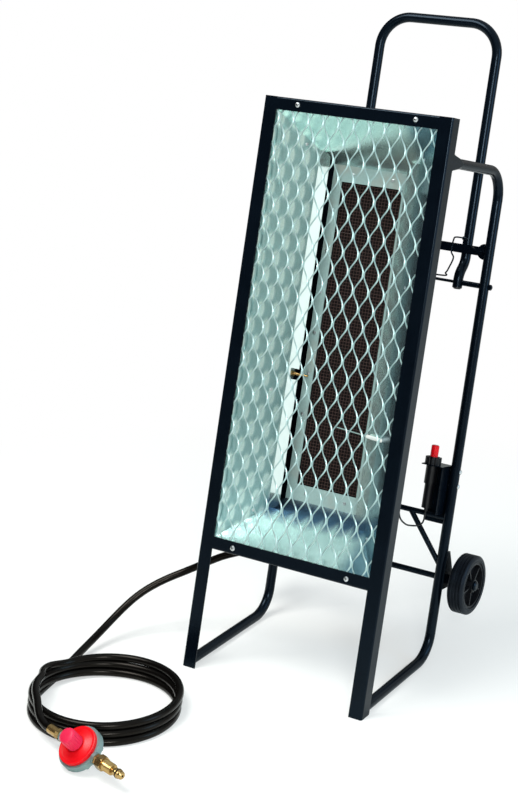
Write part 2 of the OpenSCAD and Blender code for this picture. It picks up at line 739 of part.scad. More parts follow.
// The electrode slants in through the right wall and ends over the plaques
ceramic_d = 8;
ceramic_len = 58;
wire_d = 2.2;
spark_d = 3.5;
electrode_turn = -20;
electrode_tip = [88, 78, 518];
module electrode_axis() { translate(electrode_tip) rotate([0, 0, electrode_turn]) children(); }
module electrode() {
    color("#f0efe8") leaned() electrode_axis() difference() {
        rod_x(ceramic_d, ceramic_len);
        translate([-1, 0, 0]) rod_x(wire_d + 2 * fit, 22);
    }
}
module electrode_rod() {
    color(steel) leaned() electrode_axis() translate([-88, 0, 0]) rod_x(wire_d, 88 + 20);
}
lead_start = electrode_tip + ceramic_len * [cos(electrode_turn), sin(electrode_turn), 0];
terminal_s = igniter_s - bracket_t - igniter_up - igniter_low - 6;
spark_route = [
    lead_start, lead_start + 8 * [cos(electrode_turn), sin(electrode_turn), 0],
    [win_x - 15, 54.5, 517], [win_x - 8, 57, 513], [win_x - 4.5, 65, 504], [win_x - 4, 74, 488],
    [win_x - 5, 82, 462], [win_x - 8, 92, 430], [win_x - 12, 108, 398], [win_x - 18, 136, 368],
    [igniter_mid, igniter_y - 88, 349], [igniter_mid - 4, igniter_y - 48, 341],
    [igniter_mid - 3, igniter_y - 20, 339], [igniter_mid - 0.5, igniter_y - 5, 344],
    [igniter_mid, igniter_y, terminal_s - 10], [igniter_mid, igniter_y, terminal_s],
];
module ignition_lead() { color(black) placed() cord([for (p = spark_route) world(p)], spark_d, 8, 3); }

// ---------------------------------------------------------------- side loops and lower frame

turn = 90 - lean;
corner_s = (tube_r + loop_depth * sin(lean)) / cos(lean);      // where rail and rear tube would meet
corner_y = corner_s * sin(lean) + loop_depth * cos(lean);
setback = tube_bend * tan(turn / 2);
rail_y = (tube_d * sin(lean) + post_t) / cos(lean) + fit;
flare_e = 82;
flare_len = 44;
plate_e = hood_e + sheet_t + 0.5;
bracket_rows = [igniter_s - 9, igniter_s - 39];
bracket_screw_d = 4.8;

module loop() {
    side = half_w - post_t;
    translate([0, -mid_y, 0]) {
        translate([loop_x, rail_y, tube_r]) rotate([-90, 0, 0])
            pipe(corner_y - setback - rail_y, before = 0);
        translate([loop_x, corner_y - setback, tube_r]) rotate([-90, 0, 0])
            rotate([0, 0, -90]) elbow(tube_bend, turn);
    }
    leaned() {
        translate([loop_x, loop_depth, corner_s + setback])
            pipe(loop_top_s - tube_bend - corner_s - setback);
        translate([loop_x, loop_depth, loop_top_s - tube_bend]) rotate([0, 0, -90]) elbow(tube_bend, 90);
        translate([loop_x, flare_e, loop_top_s]) rotate([-90, 0, 0])
            pipe(loop_depth - tube_bend - flare_e, before = 0);
        translate([0, flare_e - flare_len, loop_top_s]) intersection() {
            translate([loop_x, 0, 0]) rotate([-90, 0, 0])
                cylinder(r1 = norm([flare_h / 2, tube_r - flare_t / 2]), r2 = tube_r, h = flare_len);
            linear_extrude(2 * tube_d, center = true)
                polygon([[side, 0], [side, flare_len], [side - tube_d, flare_len], [side - flare_t, 0]]);
        }
        translate([side - flare_t, plate_e, loop_top_s - flare_h / 2])
            cube([flare_t, flare_e - flare_len - plate_e, flare_h]);
    }
}
module pivot_hole() { leaned() translate([0, loop_depth, pivot_s]) rod_x(pivot_d + 2 * fit, stand_w); }
module loop_right() {
    color(black) difference() {
        loop();
        pivot_hole();
        leaned() for (s = bracket_rows)
            translate([0, loop_depth, s]) rod_x(bracket_screw_d + 2 * fit, stand_w);
    }
}
module loop_left() {
    color(black) mirror([1, 0, 0]) difference() {
        loop();
        pivot_hole();
    }
}
// The brace runs from the cross bar down and out to the rear tube
module cross_bar() {
    reach = loop_x - brace_x;
    color(black) leaned() difference() {
        translate([0, loop_depth, cross_s]) {
            translate([-loop_x, 0, 0]) rod_x(cross_d, 2 * loop_x);
            both() translate([brace_x, 0, 0]) rotate([0, 90 + atan(brace_drop / reach), 0])
                cylinder(d = cross_d, h = norm([reach, brace_drop]));
        }
        both() translate([loop_x, loop_depth, 0]) cylinder(d = tube_d, h = loop_top_s);
        both() translate([loop_x, loop_depth - 50, 0]) cube([50, 100, loop_top_s]);
    }
}
module strap_ears() {
    color(black) leaned() difference() {
        both() translate([loop_in - 5, loop_depth + tube_r, strap_s]) rod_y(ear_d, strap_t);
        wing_holes();
    }
}

// ---------------------------------------------------------------- wheels

gusset_x = loop_x + tube_r;
module axle_brackets() {
    tall = 34;
    color(black) leaned() both() difference() {
        translate([gusset_x, 0, 0]) rotate([90, 0, 90]) linear_extrude(gusset_t) {
            polygon([[loop_depth - 6, axle_s - tall / 2], [axle_y + 2, axle_s - 14],
                     [axle_y + 11, axle_s + 9], [loop_depth + 6, axle_s + 1.8 * tall],
                     [loop_depth - 6, axle_s + 1.8 * tall]]);
            translate([axle_y, axle_s]) circle(14);
        }
        translate([0, axle_y, axle_s]) rod_x(axle_d + 2 * fit, stand_w);
    }
}
axle_end = wheel_in + wheel_w + 3;
side_play = 0.5;
module axle() {
    color(zinc) leaned() translate([0, axle_y, axle_s]) {
        translate([-axle_end, 0, 0]) rod_x(axle_d, 2 * axle_end);
        both() translate([gusset_x + gusset_t, 0, 0]) rod_x(19, wheel_in - side_play - gusset_x - gusset_t);
    }
}
module axle_caps() {
    color(zinc) leaned() both() translate([wheel_in + wheel_w + side_play, axle_y, axle_s]) difference() {
        union() {
            rod_x(20, 3);
            rotate([0, 90, 0]) translate([0, 0, 3]) cylinder(d1 = 20, d2 = 13, h = 2.5);
        }
        translate([-1, 0, 0]) rod_x(axle_d + 2 * fit, axle_end - wheel_in - wheel_w - side_play + 1);
    }
}

rim_r = wheel_d / 2 - tyre_t;
module tyre() {
    r = wheel_d / 2;
    groove = 2.6;
    step = wheel_w / (tread_grooves + 1);
    translate([wheel_in, axle_y, axle_s]) rotate([0, 90, 0]) rotate_extrude() difference() {
        polygon([[rim_r + fit, 0], [r - 4, 0], [r, 5], [r, wheel_w - 5],
                 [r - 4, wheel_w], [rim_r + fit, wheel_w]]);
        for (i = [1 : tread_grooves]) translate([r - 2, i * step - groove / 2]) square([5, groove]);
    }
}
module hub() {
    boss_r = axle_d / 2 + 7;
    web = 4;
    dish = 13;                               // depth of the wheel's outer face
    translate([wheel_in, axle_y, axle_s]) rotate([0, 90, 0]) {
        rotate_extrude() {
            translate([axle_d / 2 + axle_gap, 0]) square([boss_r - axle_d / 2 - axle_gap, wheel_w]);
            translate([boss_r - 1, wheel_w - dish - web]) square([rim_r - boss_r, web]);
            translate([rim_r - 5, 2]) square([5, wheel_w - 4]);
        }
        for (k = [0 : wheel_ribs - 1]) rotate(k * 360 / wheel_ribs)
            translate([boss_r - 1, -1.5, wheel_w - dish - 1]) cube([rim_r - boss_r - 2, 3, dish - 3]);
    }
}
module tyre_right() { color(black) leaned() tyre(); }
module tyre_left() { color(black) leaned() mirror([1, 0, 0]) tyre(); }
module hub_right() { color(black) leaned() hub(); }
module hub_left() { color(black) leaned() mirror([1, 0, 0]) hub(); }

// ---------------------------------------------------------------- handle

handle_x = handle_w / 2;
jog = handle_e - loop_depth;
jog_turn = 40;
jog_mid = (jog - 2 * jog_bend * (1 - cos(jog_turn))) / sin(jog_turn);    // straight between its two bends
jog_end = jog_s - 2 * jog_bend * sin(jog_turn) - jog_mid * cos(jog_turn);
leg_top = handle_top_s - handle_bend;
stub = jog_end - pivot_s + pivot_d / 2 + 6;  // straight end below the set-back
module handle() {
    color(black) leaned() difference() {
        union() {
            translate([handle_bend - handle_x, handle_e, handle_top_s]) rotate([0, 90, 0])
                pipe(2 * (handle_x - handle_bend));
            both() {
                translate([handle_x, handle_e, leg_top]) mirror([1, 0, 0]) elbow(handle_bend, 90);
                translate([handle_x, handle_e, jog_s]) pipe(leg_top - jog_s);
                translate([handle_x, handle_e, jog_s]) mirror([0, 0, 1]) rotate([0, 0, -90])
                    elbow(jog_bend, jog_turn);
                translate([handle_x, handle_e - jog / 2, (jog_s + jog_end) / 2]) rotate([-jog_turn, 0, 0])
                    translate([0, 0, -jog_mid / 2]) pipe(jog_mid);
                translate([handle_x, loop_depth, jog_end]) rotate([0, 0, 90]) elbow(jog_bend, jog_turn);
                translate([handle_x, loop_depth, jog_end - stub]) pipe(stub, before = 0);
            }
        }
        translate([-half_w, loop_depth, pivot_s]) rod_x(pivot_d + 2 * pivot_gap, stand_w);
    }
}
module handle_plugs() {
    color(black) leaned() both() translate([handle_x, loop_depth, jog_end - stub]) {
        cylinder(d = tube_d - 2 * tube_wall - 2 * fit, h = 5);
        translate([0, 0, -2]) cylinder(d = tube_d, h = 2);
        translate([0, 0, -5]) cylinder(d1 = 12, d2 = tube_d, h = 3);
    }
}
nut_t = 5.5;
module pivot_rod() {
    color(black) leaned() translate([-gusset_x - nut_t - 1.5, loop_depth, pivot_s])
        rod_x(pivot_d, 2 * (gusset_x + nut_t + 1.5));
}
module rod_nuts() {
    color(black) leaned() both() translate([gusset_x, loop_depth, pivot_s]) rotate([0, 90, 0]) difference() {
        hex(10, nut_t);
        translate([0, 0, -1]) cylinder(d = pivot_d + 2 * fit, h = nut_t + 2);
    }
}
module rod_spacers() {
    color(black) leaned() both() translate([handle_x + tube_r + tiny, loop_depth, pivot_s]) difference() {
        rod_x(spacer_d, loop_in - handle_x - tube_r - 2 * tiny);
        translate([-1, 0, 0]) rod_x(pivot_d + 2 * fit, stand_w);
    }
}

strap_e = loop_depth + tube_r - strap_t;
strap_x = loop_in - 8;
bolt_x = loop_in - wing_x;
eye_w = 8;                                   // the bail's eyes
eye_x = handle_x - 6;
bail_s = strap_s + 21;
bail_e = strap_e - 2;
bail_gap = 0.08;
module wing_holes() {
    both() translate([bolt_x, strap_e - 1, strap_s]) rod_y(wing_d + 2 * fit, 2 * strap_t + 2);
}
module strap() {
    barrel = 7;
    color(black) leaned() difference() {
        union() {
            translate([0, strap_e, strap_s]) {
                translate([strap_h / 2 - strap_x, 0, -strap_h / 2])
                    cube([2 * strap_x - strap_h, strap_t, strap_h]);
                both() translate([strap_x - strap_h / 2, 0, 0]) rod_y(strap_h, strap_t);
            }
            both() {
                translate([eye_x, strap_e, strap_s + strap_h / 2 - 2]) cube([eye_w, strap_t, 12]);
                translate([eye_x, bail_e, bail_s]) rod_x(barrel, eye_w);
            }
        }
        wing_holes();
        both() translate([eye_x - 6, bail_e, bail_s]) rod_x(bail_d + 2 * bail_gap, 20);
    }
}
module strap_bolts() {
    color(black) leaned() both() translate([bolt_x, strap_e, strap_s]) {
        translate([0, -8, 0]) rod_y(10, 8);
        rotate([0, 28, 0]) translate([-13, -13, -1.5]) cube([26, 8, 3]);
        rod_y(wing_d, 2 * strap_t + 6);
        translate([0, 2 * strap_t, 0]) rotate([-90, 0, 0]) hex(8, 4);
    }
}
// The bail's wire, across and up from its pivot; knuckles round its bends
bail_half = [[11, 0], [-14, 0], [-19.5, -6], [-20.5, -30], [-14, -42], [-20, -62], [-26, -74], [-40, -81]];
function bail_side(side, order) = [for (i = order) [side * (eye_x + bail_half[i][0]), bail_half[i][1]]];
bail_path = concat(bail_side(1, [0 : 7]), bail_side(-1, [7 : -1 : 0]));
module bail() {
    last = len(bail_path) - 1;
    color(black) leaned() translate([0, bail_e, bail_s]) {
        for (i = [0 : last - 1], a = [bail_path[i]], b = [bail_path[i + 1]])
            translate([a[0], 0, a[1]]) rotate([0, 90 + atan2(a[1] - b[1], b[0] - a[0]), 0])
                cylinder(d = bail_d, h = norm(b - a));
        for (i = [1 : last - 1]) translate([bail_path[i][0], 0, bail_path[i][1]]) sphere(d = bail_d + 0.3);
    }
}

// ---------------------------------------------------------------- igniter

thread = igniter_d - 3;
module igniter_bracket() {
    wide = igniter_x + 16.5;
    front = igniter_y - 18;
    back = loop_depth + cross_d / 2 + 0.1;
    deep = back + bracket_t - front;
    base = cross_s + cross_d / 2 + 2;
    color(black) leaned() difference() {
        union() {
            translate([loop_in - bracket_t, front, base]) cube([bracket_t, deep, igniter_s - base]);
            translate([loop_in - wide, front, igniter_s - bracket_t]) cube([wide, deep, bracket_t]);
            translate([loop_in - wide, back, igniter_s - bracket_h]) cube([wide, bracket_t, bracket_h]);
        }
        translate([igniter_mid, igniter_y, igniter_s - 5]) cylinder(d = thread + 2 * fit, h = 10);
        for (s = bracket_rows) translate([loop_in - 5, loop_depth, s]) rod_x(bracket_screw_d + 2 * fit, 10);
    }
}
module bracket_screws() {
    color(zinc) leaned() for (s = bracket_rows) translate([0, loop_depth, s]) {
        translate([gusset_x, 0, 0]) rotate([0, 90, 0]) pan_head(9.5, 3.2);
        translate([loop_in - bracket_t - 6, 0, 0])
            rod_x(bracket_screw_d, gusset_x - loop_in + bracket_t + 6);
        translate([loop_in - bracket_t - 4, 0, 0]) rotate([0, 90, 0]) hex(8, 4);
    }
}
neck = nut_h + 1;
slide_gap = 0.1;
module igniter_body() {
    color(black) leaned() translate([igniter_mid, igniter_y, igniter_s - bracket_t]) difference() {
        union() {
            cylinder(d = thread, h = neck + bracket_t);
            mirror([0, 0, 1]) cylinder(d = igniter_d, h = igniter_up);
            translate([0, 0, -igniter_up - igniter_low]) cylinder(d = igniter_low_d, h = igniter_low + 1);
            translate([0, 0, -igniter_up - igniter_low - 6]) cylinder(d = 8, h = 7);
        }
        translate([0, 0, -igniter_up + 4]) cylinder(d = button_d + 2 * slide_gap, h = 100);
    }
}
module igniter_nut() {
    color(black) leaned() translate([igniter_mid, igniter_y, igniter_s]) difference() {
        cylinder(d = nut_d, h = nut_h);
        translate([0, 0, -1]) cylinder(d = thread + 2 * fit, h = nut_h + 2);
        for (k = [0 : 11]) rotate(k * 30) translate([nut_d / 2 + 1.5, 0, -1]) cylinder(d = 6, h = nut_h + 2);
    }
}
module igniter_button() {
    base = igniter_s - bracket_t - igniter_up + 4 + button_travel + 1;
    straight = igniter_s + nut_h + button_h - 2 - base;
    color(red) leaned() translate([igniter_mid, igniter_y, base]) {
        cylinder(d = button_d, h = straight);
        translate([0, 0, straight]) cylinder(d1 = button_d, d2 = button_d - 3, h = 2);
    }
}

// ---------------------------------------------------------------- regulator and hose

reg_turn = 17;                               // heading of the gas flow
reg_tilt = 40;                               // how far the cap leans to the front
reg_at = [-131, -427, (reg_d / 2 + 1) * sin(reg_tilt) + (reg_t / 2 - 2) * cos(reg_tilt) + 0.2];
flow = [cos(reg_turn), -sin(reg_turn), 0];
port_in = reg_d / 2 + 19;                    // ends of the hose's and the cylinder's ports
port_out = reg_d / 2 + 5;
port_d = 22;
nipple_d = 11;
nipple_hex = 6;
nut_start = port_out + nipple_hex + 1;
nut_len = 40;
nose = nut_start + nut_len + 4;              // where the cylinder fitting's nose starts
fitting_len = 35;
module regulator() {
    placed() translate(reg_at) rotate([0, 0, -reg_turn]) rotate([reg_tilt, 0, 0]) children();
}

module regulator_body() {
    color(zinc) regulator() difference() {
        union() {
            translate([0, 0, 3 - reg_t / 2]) cylinder(d = reg_d, h = reg_t - 3);
            translate([0, 0, -reg_t / 2]) cylinder(d1 = reg_d - 8, d2 = reg_d, h = 3);
            translate([-port_in, 0, 0]) rod_x(port_d - 4, port_in + port_out);
            translate([cap_d / 2 + 1, 0, 0]) rod_x(port_d, port_out - cap_d / 2 - 1);
            for (k = [0 : 5]) rotate(k * 60 + 30) translate([reg_d / 2 - 4, 0, -reg_t / 2 + 2])
                cylinder(d = 10, h = reg_t - 3);
        }
        translate([-port_in - 1, 0, 0]) rod_x(nipple_d + 2 * fit, 13);
        translate([port_out - 12, 0, 0]) rod_x(nipple_d + 2 * fit, 13);
    }
}
module regulator_cap() {
    knurls = 36;
    crown = 5;
    color(red) regulator() translate([0, 0, reg_t / 2 + fit]) difference() {
        union() {
            linear_extrude(cap_h - crown) {
                circle(d = cap_d - 3);
                for (k = [0 : knurls - 1]) rotate(k * 360 / knurls)
                    translate([cap_d / 2 - 1.6, 0]) circle(1.6);
            }
            translate([0, 0, cap_h - crown]) cylinder(d1 = cap_d - 3, d2 = knob_d + 8, h = crown);
        }
        translate([0, 0, cap_h - 6]) cylinder(d = knob_d - 8 + 2 * slide_gap, h = 10);
    }
}
module regulator_knob() {
    flutes = 12;
    color("#d9575f") regulator() translate([0, 0, reg_t / 2 + fit + cap_h]) {
        translate([0, 0, -5]) cylinder(d = knob_d - 8, h = 6);
        translate([0, 0, 0.4]) linear_extrude(knob_h - 3) difference() {
            circle(d = knob_d);
            for (k = [0 : flutes - 1]) rotate(k * 360 / flutes) translate([knob_d / 2 + 1, 0]) circle(2.2);
        }
        translate([0, 0, knob_h - 2.6]) cylinder(d1 = knob_d - 3, d2 = knob_d - 8, h = 2.6);
    }
}
module pol_nipple() {
    color(brass) regulator() difference() {
        union() {
            translate([port_out - 11, 0, 0]) rod_x(nipple_d, nose - port_out + 12);
            translate([port_out, 0, 0]) rotate([0, 90, 0]) hex(19, nipple_hex);
            translate([nose, 0, 0]) rotate([0, 90, 0]) rotate_extrude()
                polygon([[0, 0], [6, 0], [7.5, 2], [7.5, 6], [6.5, 7], [6.5, 8], [8.5, 9], [8.5, 14],
                         [7.5, 15], [7, 20], [5, 22], [0, 22]]);
        }
        translate([port_out - 12, 0, 0]) rod_x(4, nose);
    }
}
module pol_nut() {
    color(brass) regulator() translate([nut_start, 0, 0]) rotate([0, 90, 0]) difference() {
        union() {
            hex(pol_hex, 15);
            cylinder(d = pol_d, h = nut_len - 2);
            translate([0, 0, nut_len - 2]) cylinder(d1 = pol_d, d2 = pol_d - 4, h = 2);
        }
        translate([0, 0, -1]) cylinder(d = nipple_d + 2 * pol_gap, h = nut_len + 2);
    }
}
module hose_fitting() {
    color(brass) regulator() translate([-port_in, 0, 0]) {
        translate([-1, 0, 0]) rod_x(nipple_d, 12);
        translate([-10, 0, 0]) rotate([0, 90, 0]) hex(19, 10);
        translate([-fitting_len, 0, 0]) rod_x(hose_d + 2.5, fitting_len - 10);
    }
}

inlet_end = valve_w / 2 + inlet_boss + 28;
module inlet_nut() {
    color(brass) leaned() translate([0, mixer_e, inlet_s]) {
        translate([-valve_w / 2 - inlet_boss - 1, 0, 0]) rod_x(inlet_d, inlet_boss);
        translate([-valve_w / 2 - inlet_boss - 10, 0, 0]) rotate([0, 90, 0]) hex(19, 10);
        translate([-inlet_end, 0, 0]) rod_x(hose_d + 2.5, 18);
    }
}
coil_at = [-222, -231, 0];
lay_r = coil_r - hose_d / 2;                 // centre line of the widest turn
inlet_at = world([-inlet_end, mixer_e, inlet_s]);
lead_route = [
    inlet_at, inlet_at - [10, 0, 0], inlet_at - [20, 0, 0],
    [-108, 195, 210.5], [-135, 189, 203], [-162, 181, 194],
    [-190, 173, 184], [-218, 165, 172], [-245, 157, 157], [-270, 149, 142], [-293, 137, 129],
    [-314, 120, 118], [-334, 100, 106], [-352, 80, 92], [-366, 60, 77], [-377, 36, 60],
    [-384, 8, 44], [-387.5, -22, 31], [-388, -56, 21], [-385, -92, 15], [-380, -130, 10],
    [-373, -170, 7.8], [-365.5, -205, 7.8], coil_at + [-lay_r + 3, -4, 7.8],
];
module hose_lead() { color(black) placed() cord(lead_route, hose_d, 12, 2); }
module hose_coil() {
    rise = coil_h - hose_d;
    layers = [hose_d / 2 : rise / 2 : hose_d / 2 + rise];
    inner = coil_r - coil_band + hose_d / 2;
    color(black) placed() translate(coil_at) rotate_extrude() {
        for (r = [inner, lay_r], z = layers) translate([r, z]) circle(d = hose_d);
        translate([inner, 2]) square([lay_r - inner, coil_h - 4]);
    }
}
fitting_at = reg_at - (port_in + fitting_len) * flow;
tail_route = [
    [-364, -215, 41], [-358, -245, 46], [-341.5, -272, 50], [-330, -301, 52], [-312, -328, 51.5],
    [-289, -352, 48.5], [-270.5, -372, 43], [-253.5, -386, 36],
    fitting_at - 14 * flow, fitting_at - 7 * flow, fitting_at,
];
module hose_tail() { color(black) placed() cord(tail_route, hose_d, 12, 3); }

post_left();
post_right();
top_bar();
bottom_bar();
guard();
face_screws();
reflector_left();
reflector_right();
reflector_top();
reflector_bottom();
rear_shield();
shield_screws();
burner_frame();
burner_screen();
burner_plaques();
burner_plenum();
burner_screws();
mixer_tube();
orifice();
gas_valve();
valve_button();
thermocouple();
thermocouple_lead();
electrode();
electrode_rod();
ignition_lead();
loop_left();
loop_right();
cross_bar();
strap_ears();
axle_brackets();
axle();
axle_caps();
tyre_left();
tyre_right();
hub_left();
hub_right();
handle();
handle_plugs();
pivot_rod();
rod_nuts();
rod_spacers();
strap();
strap_bolts();
bail();
igniter_bracket();
bracket_screws();
igniter_body();
igniter_nut();
igniter_button();
inlet_nut();
hose_lead();
hose_coil();
hose_tail();
hose_fitting();
regulator_body();
regulator_cap();
regulator_knob();
pol_nipple();
pol_nut();
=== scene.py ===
"""Portable propane heater: finishes, guard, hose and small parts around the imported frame.

Stand coordinates are x across, e back from the front face and s up the posts, in millimetres.
Everything in the scene is in metres, in the frame's own axes.
"""

import json
import math

import bmesh
import bpy
import numpy as np
from mathutils import Matrix, Vector


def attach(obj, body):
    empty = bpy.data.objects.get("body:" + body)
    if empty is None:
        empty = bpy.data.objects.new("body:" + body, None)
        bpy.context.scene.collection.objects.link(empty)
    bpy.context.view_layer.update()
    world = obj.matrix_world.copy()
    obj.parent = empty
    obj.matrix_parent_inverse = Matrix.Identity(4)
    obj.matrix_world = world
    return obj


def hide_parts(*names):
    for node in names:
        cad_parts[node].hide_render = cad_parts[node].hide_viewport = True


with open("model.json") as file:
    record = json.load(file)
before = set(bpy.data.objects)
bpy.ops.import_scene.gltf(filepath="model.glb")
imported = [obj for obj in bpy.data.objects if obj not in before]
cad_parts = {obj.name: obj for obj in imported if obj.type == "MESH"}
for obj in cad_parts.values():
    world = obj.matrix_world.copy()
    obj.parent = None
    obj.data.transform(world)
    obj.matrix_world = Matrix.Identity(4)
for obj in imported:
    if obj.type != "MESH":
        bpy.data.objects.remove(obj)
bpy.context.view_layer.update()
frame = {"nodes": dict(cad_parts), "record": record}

MM = 0.001
TAU = 2 * math.pi
LEAN = math.radians(12.5)
MIDDLE = 304.63  # the origin lies this far behind the toes of the posts
CORNERS = np.array([[-1, -1], [1, -1], [1, 1], [-1, 1]])  # of a square, in turn
ROUTE_STEPS = 6  # between two points of the hose's or a lead's route
WINDOW_LOW, WINDOW_HIGH = 268.5, 1117.0  # the window between the bars, up the posts
WINDOW_S = (WINDOW_LOW + WINDOW_HIGH) / 2
MESH_X, MESH_S = 33.0, 68.0  # the guard's diamonds, across and up
GUARD_SHADOW_DEPTH = 25.0  # the depth of one diamond of the guard's painted shadow on the left wall


# ---------------------------------------------------------------- places


def ground(points):
    """Points from the toes' axes, in millimetres, to the frame's metres."""
    return (np.asarray(points, float) - [0, MIDDLE, 0]) * MM


def stand(x, e, s):
    """Stand coordinates tipped back by the lean: y = s sin + e cos, z = s cos - e sin."""
    x, e, s = np.broadcast_arrays(*(np.asarray(v, float) for v in (x, e, s)))
    y = s * math.sin(LEAN) + e * math.cos(LEAN)
    z = s * math.cos(LEAN) - e * math.sin(LEAN)
    return ground(np.stack([x, y, z], -1))


def stand_way(x, e, s):
    """A direction given in stand coordinates, in the frame's axes."""
    return (stand(x, e, s) - stand(0, 0, 0)) / MM


def unit(v):
    """Vectors scaled to length 1 along their last axis."""
    v = np.asarray(v, float)
    return v / np.linalg.norm(v, axis=-1, keepdims=True)


# ---------------------------------------------------------------- camera


PICTURE = (518, 800)  # pixels across and up
SENSOR = 36.0


def make_camera(place, yaw, pitch, roll, focal, centre):
    """A camera from its place in the toes' axes, its angles, its focal length and its centre in pixels."""
    wide, tall = PICTURE
    yaw, pitch, roll = (math.radians(a) for a in (yaw, pitch, roll))
    back = np.array([math.sin(yaw) * math.cos(pitch), -math.cos(yaw) * math.cos(pitch), math.sin(pitch)])
    level = np.array([math.cos(yaw), math.sin(yaw), 0])
    up = np.cross(back, level)
    right = level * math.cos(roll) + up * math.sin(roll)
    top = up * math.cos(roll) - level * math.sin(roll)
    lens = bpy.data.cameras.new("camera")
    lens.sensor_width = SENSOR
    lens.lens = SENSOR * focal / tall
    lens.shift_x = (wide / 2 - centre[0]) / tall
    lens.shift_y = (centre[1] - tall / 2) / tall
    lens.clip_start, lens.clip_end = 0.1, 60
    camera = bpy.data.objects.new("camera", lens)
    bpy.context.scene.collection.objects.link(camera)
    turned = np.eye(4)
    turned[:3, 0], turned[:3, 1], turned[:3, 2] = right, top, back
    turned[:3, 3] = ground(place)
    camera.matrix_world = Matrix(turned.tolist())
    bpy.context.scene.camera = camera


make_camera(
    place=(1573.55, -2709.3, 1615.16), yaw=30.24, pitch=14.82, roll=2.10, focal=1777.59, centre=(281, 300)
)


# ---------------------------------------------------------------- shader arithmetic


class Value:
    """A number running through a material, with the arithmetic of its patterns."""

    def __init__(self, finish, link):
        self.finish, self.link = finish, link

    def math(self, operation, *values):
        """A Math node on these values."""
        return self.finish.out("ShaderNodeMath", dict(operation=operation), *values)

    def __add__(self, other):
        return self.math("ADD", self, other)

    def __radd__(self, other):
        return self.math("ADD", other, self)

    def __sub__(self, other):
        return self.math("SUBTRACT", self, other)

    def __rsub__(self, other):
        return self.math("SUBTRACT", other, self)

    def __mul__(self, other):
        return self.math("MULTIPLY", self, other)

    def __rmul__(self, other):
        return self.math("MULTIPLY", other, self)

    def __truediv__(self, other):
        return self.math("DIVIDE", self, other)

    def repeat(self, length):
        """The distance from the nearest whole multiple of length, as a share of it, from 0 to a half."""
        return self.math("PINGPONG", self / length, 0.5)

    def between(self, low, high):
        """0 below low, 1 above high and a straight line between them."""
        return self.finish.out("ShaderNodeMapRange", {}, self, low, high, 0.0, 1.0)


class Nodes:
    """A node tree under construction."""

    def __init__(self, tree):
        self.tree = tree

    def plug(self, socket, value):
        """Link a value or an output to a socket, or set a number or colour on it."""
        if isinstance(value, Value):
            self.tree.links.new(value.link, socket)
        elif isinstance(value, bpy.types.NodeSocket):
            self.tree.links.new(value, socket)
        elif hasattr(value, "__len__") and len(value) == 3 and socket.type == "RGBA":
            socket.default_value = (*value, 1)
        else:
            socket.default_value = value

    def node(self, kind, settings, *values, **named):
        """A node of a type, its settings, and the values or links of its sockets in order or by name."""
        node = self.tree.nodes.new(kind)
        for key, value in settings.items():
            setattr(node, key, value)
        for socket, value in zip(node.inputs, values):
            self.plug(socket, value)
        for key, value in named.items():
            self.plug(node.inputs[key.replace("_", " ")], value)
        return node

    def out(self, kind, settings, *values, output=0, **named):
        """The same, giving one output as a value."""
        return Value(self, self.node(kind, settings, *values, **named).outputs[output])

    def dot(self, vector, way):
        """The length of a vector along a direction."""
        product = dict(operation="DOT_PRODUCT")
        return self.out("ShaderNodeVectorMath", product, vector, tuple(way), output="Value")

    def seen(self):
        """1 for the camera's own rays and for those that pass through something clear."""
        path = self.node("ShaderNodeLightPath", {}).outputs
        straight, through = path["Is Camera Ray"], path["Is Transmission Ray"]
        return self.out("ShaderNodeMath", dict(operation="MAXIMUM"), straight, through)

    def mix(self, factor, first, second):
        """A colour between two, by the factor."""
        node = self.node("ShaderNodeMix", dict(data_type="RGBA"), factor)
        self.plug(node.inputs[6], first)
        self.plug(node.inputs[7], second)
        return node.outputs[2]


class Finish(Nodes):
    """A material under construction: a Principled shader and the nodes that feed it."""

    def __init__(self, name, **settings):
        self.material = bpy.data.materials.new(name)
        self.material.use_nodes = True
        super().__init__(self.material.node_tree)
        self.shader = self.tree.nodes["Principled BSDF"]
        for key, value in settings.items():
            self.set(key.replace("_", " ").title().replace("Ior", "IOR"), value)

    def set(self, socket, value):
        """Feed one of the shader's own sockets."""
        self.plug(self.shader.inputs[socket], value)

    def place(self):
        """Object coordinates, in metres."""
        if not hasattr(self, "_place"):
            self._place = self.node("ShaderNodeTexCoord", {}).outputs["Object"]
        return self._place

    def along(self, way, start=(0, 0, 0)):
        """How far a point lies along a direction, in metres."""
        moved = self.node("ShaderNodeVectorMath", dict(operation="SUBTRACT"), self.place(), tuple(start))
        return self.dot(moved.outputs[0], way)

    def stretched(self, scale):
        """Object coordinates stretched per axis, for grain that runs one way."""
        return self.node("ShaderNodeMapping", {}, self.place(), Scale=scale).outputs[0]

    def noise(self, size, detail, where=None):
        """Soft noise from 0 to 1 with features of this size in metres."""
        where = where or self.place()
        return self.out("ShaderNodeTexNoise", {}, Vector=where, Scale=1 / size, Detail=detail, Roughness=0.5)

    def bump(self, height, depth, strength):
        """A bumped normal: height from 0 to 1 over this depth in metres."""
        return self.node("ShaderNodeBump", {}, Strength=strength, Distance=depth, Height=height).outputs[0]


def powder_coat():
    """Gloss black powder coat: fine orange peel, faint cloudiness and a blue cast."""
    f = Finish("powder_coat", specular_ior_level=0.16, specular_tint=(0.55, 0.78, 1.0))
    cloud = f.noise(0.05, 2)
    peel = f.noise(0.0016, 1)
    speck = f.noise(0.0007, 0)
    f.set("Base Color", f.mix(cloud, (0.0008, 0.0017, 0.0034), (0.0017, 0.0036, 0.0066)))
    f.set("Roughness", 0.15 + 0.08 * cloud + 0.05 * speck)
    f.set("Normal", f.bump(peel, 0.0001, 0.35))
    return f.material


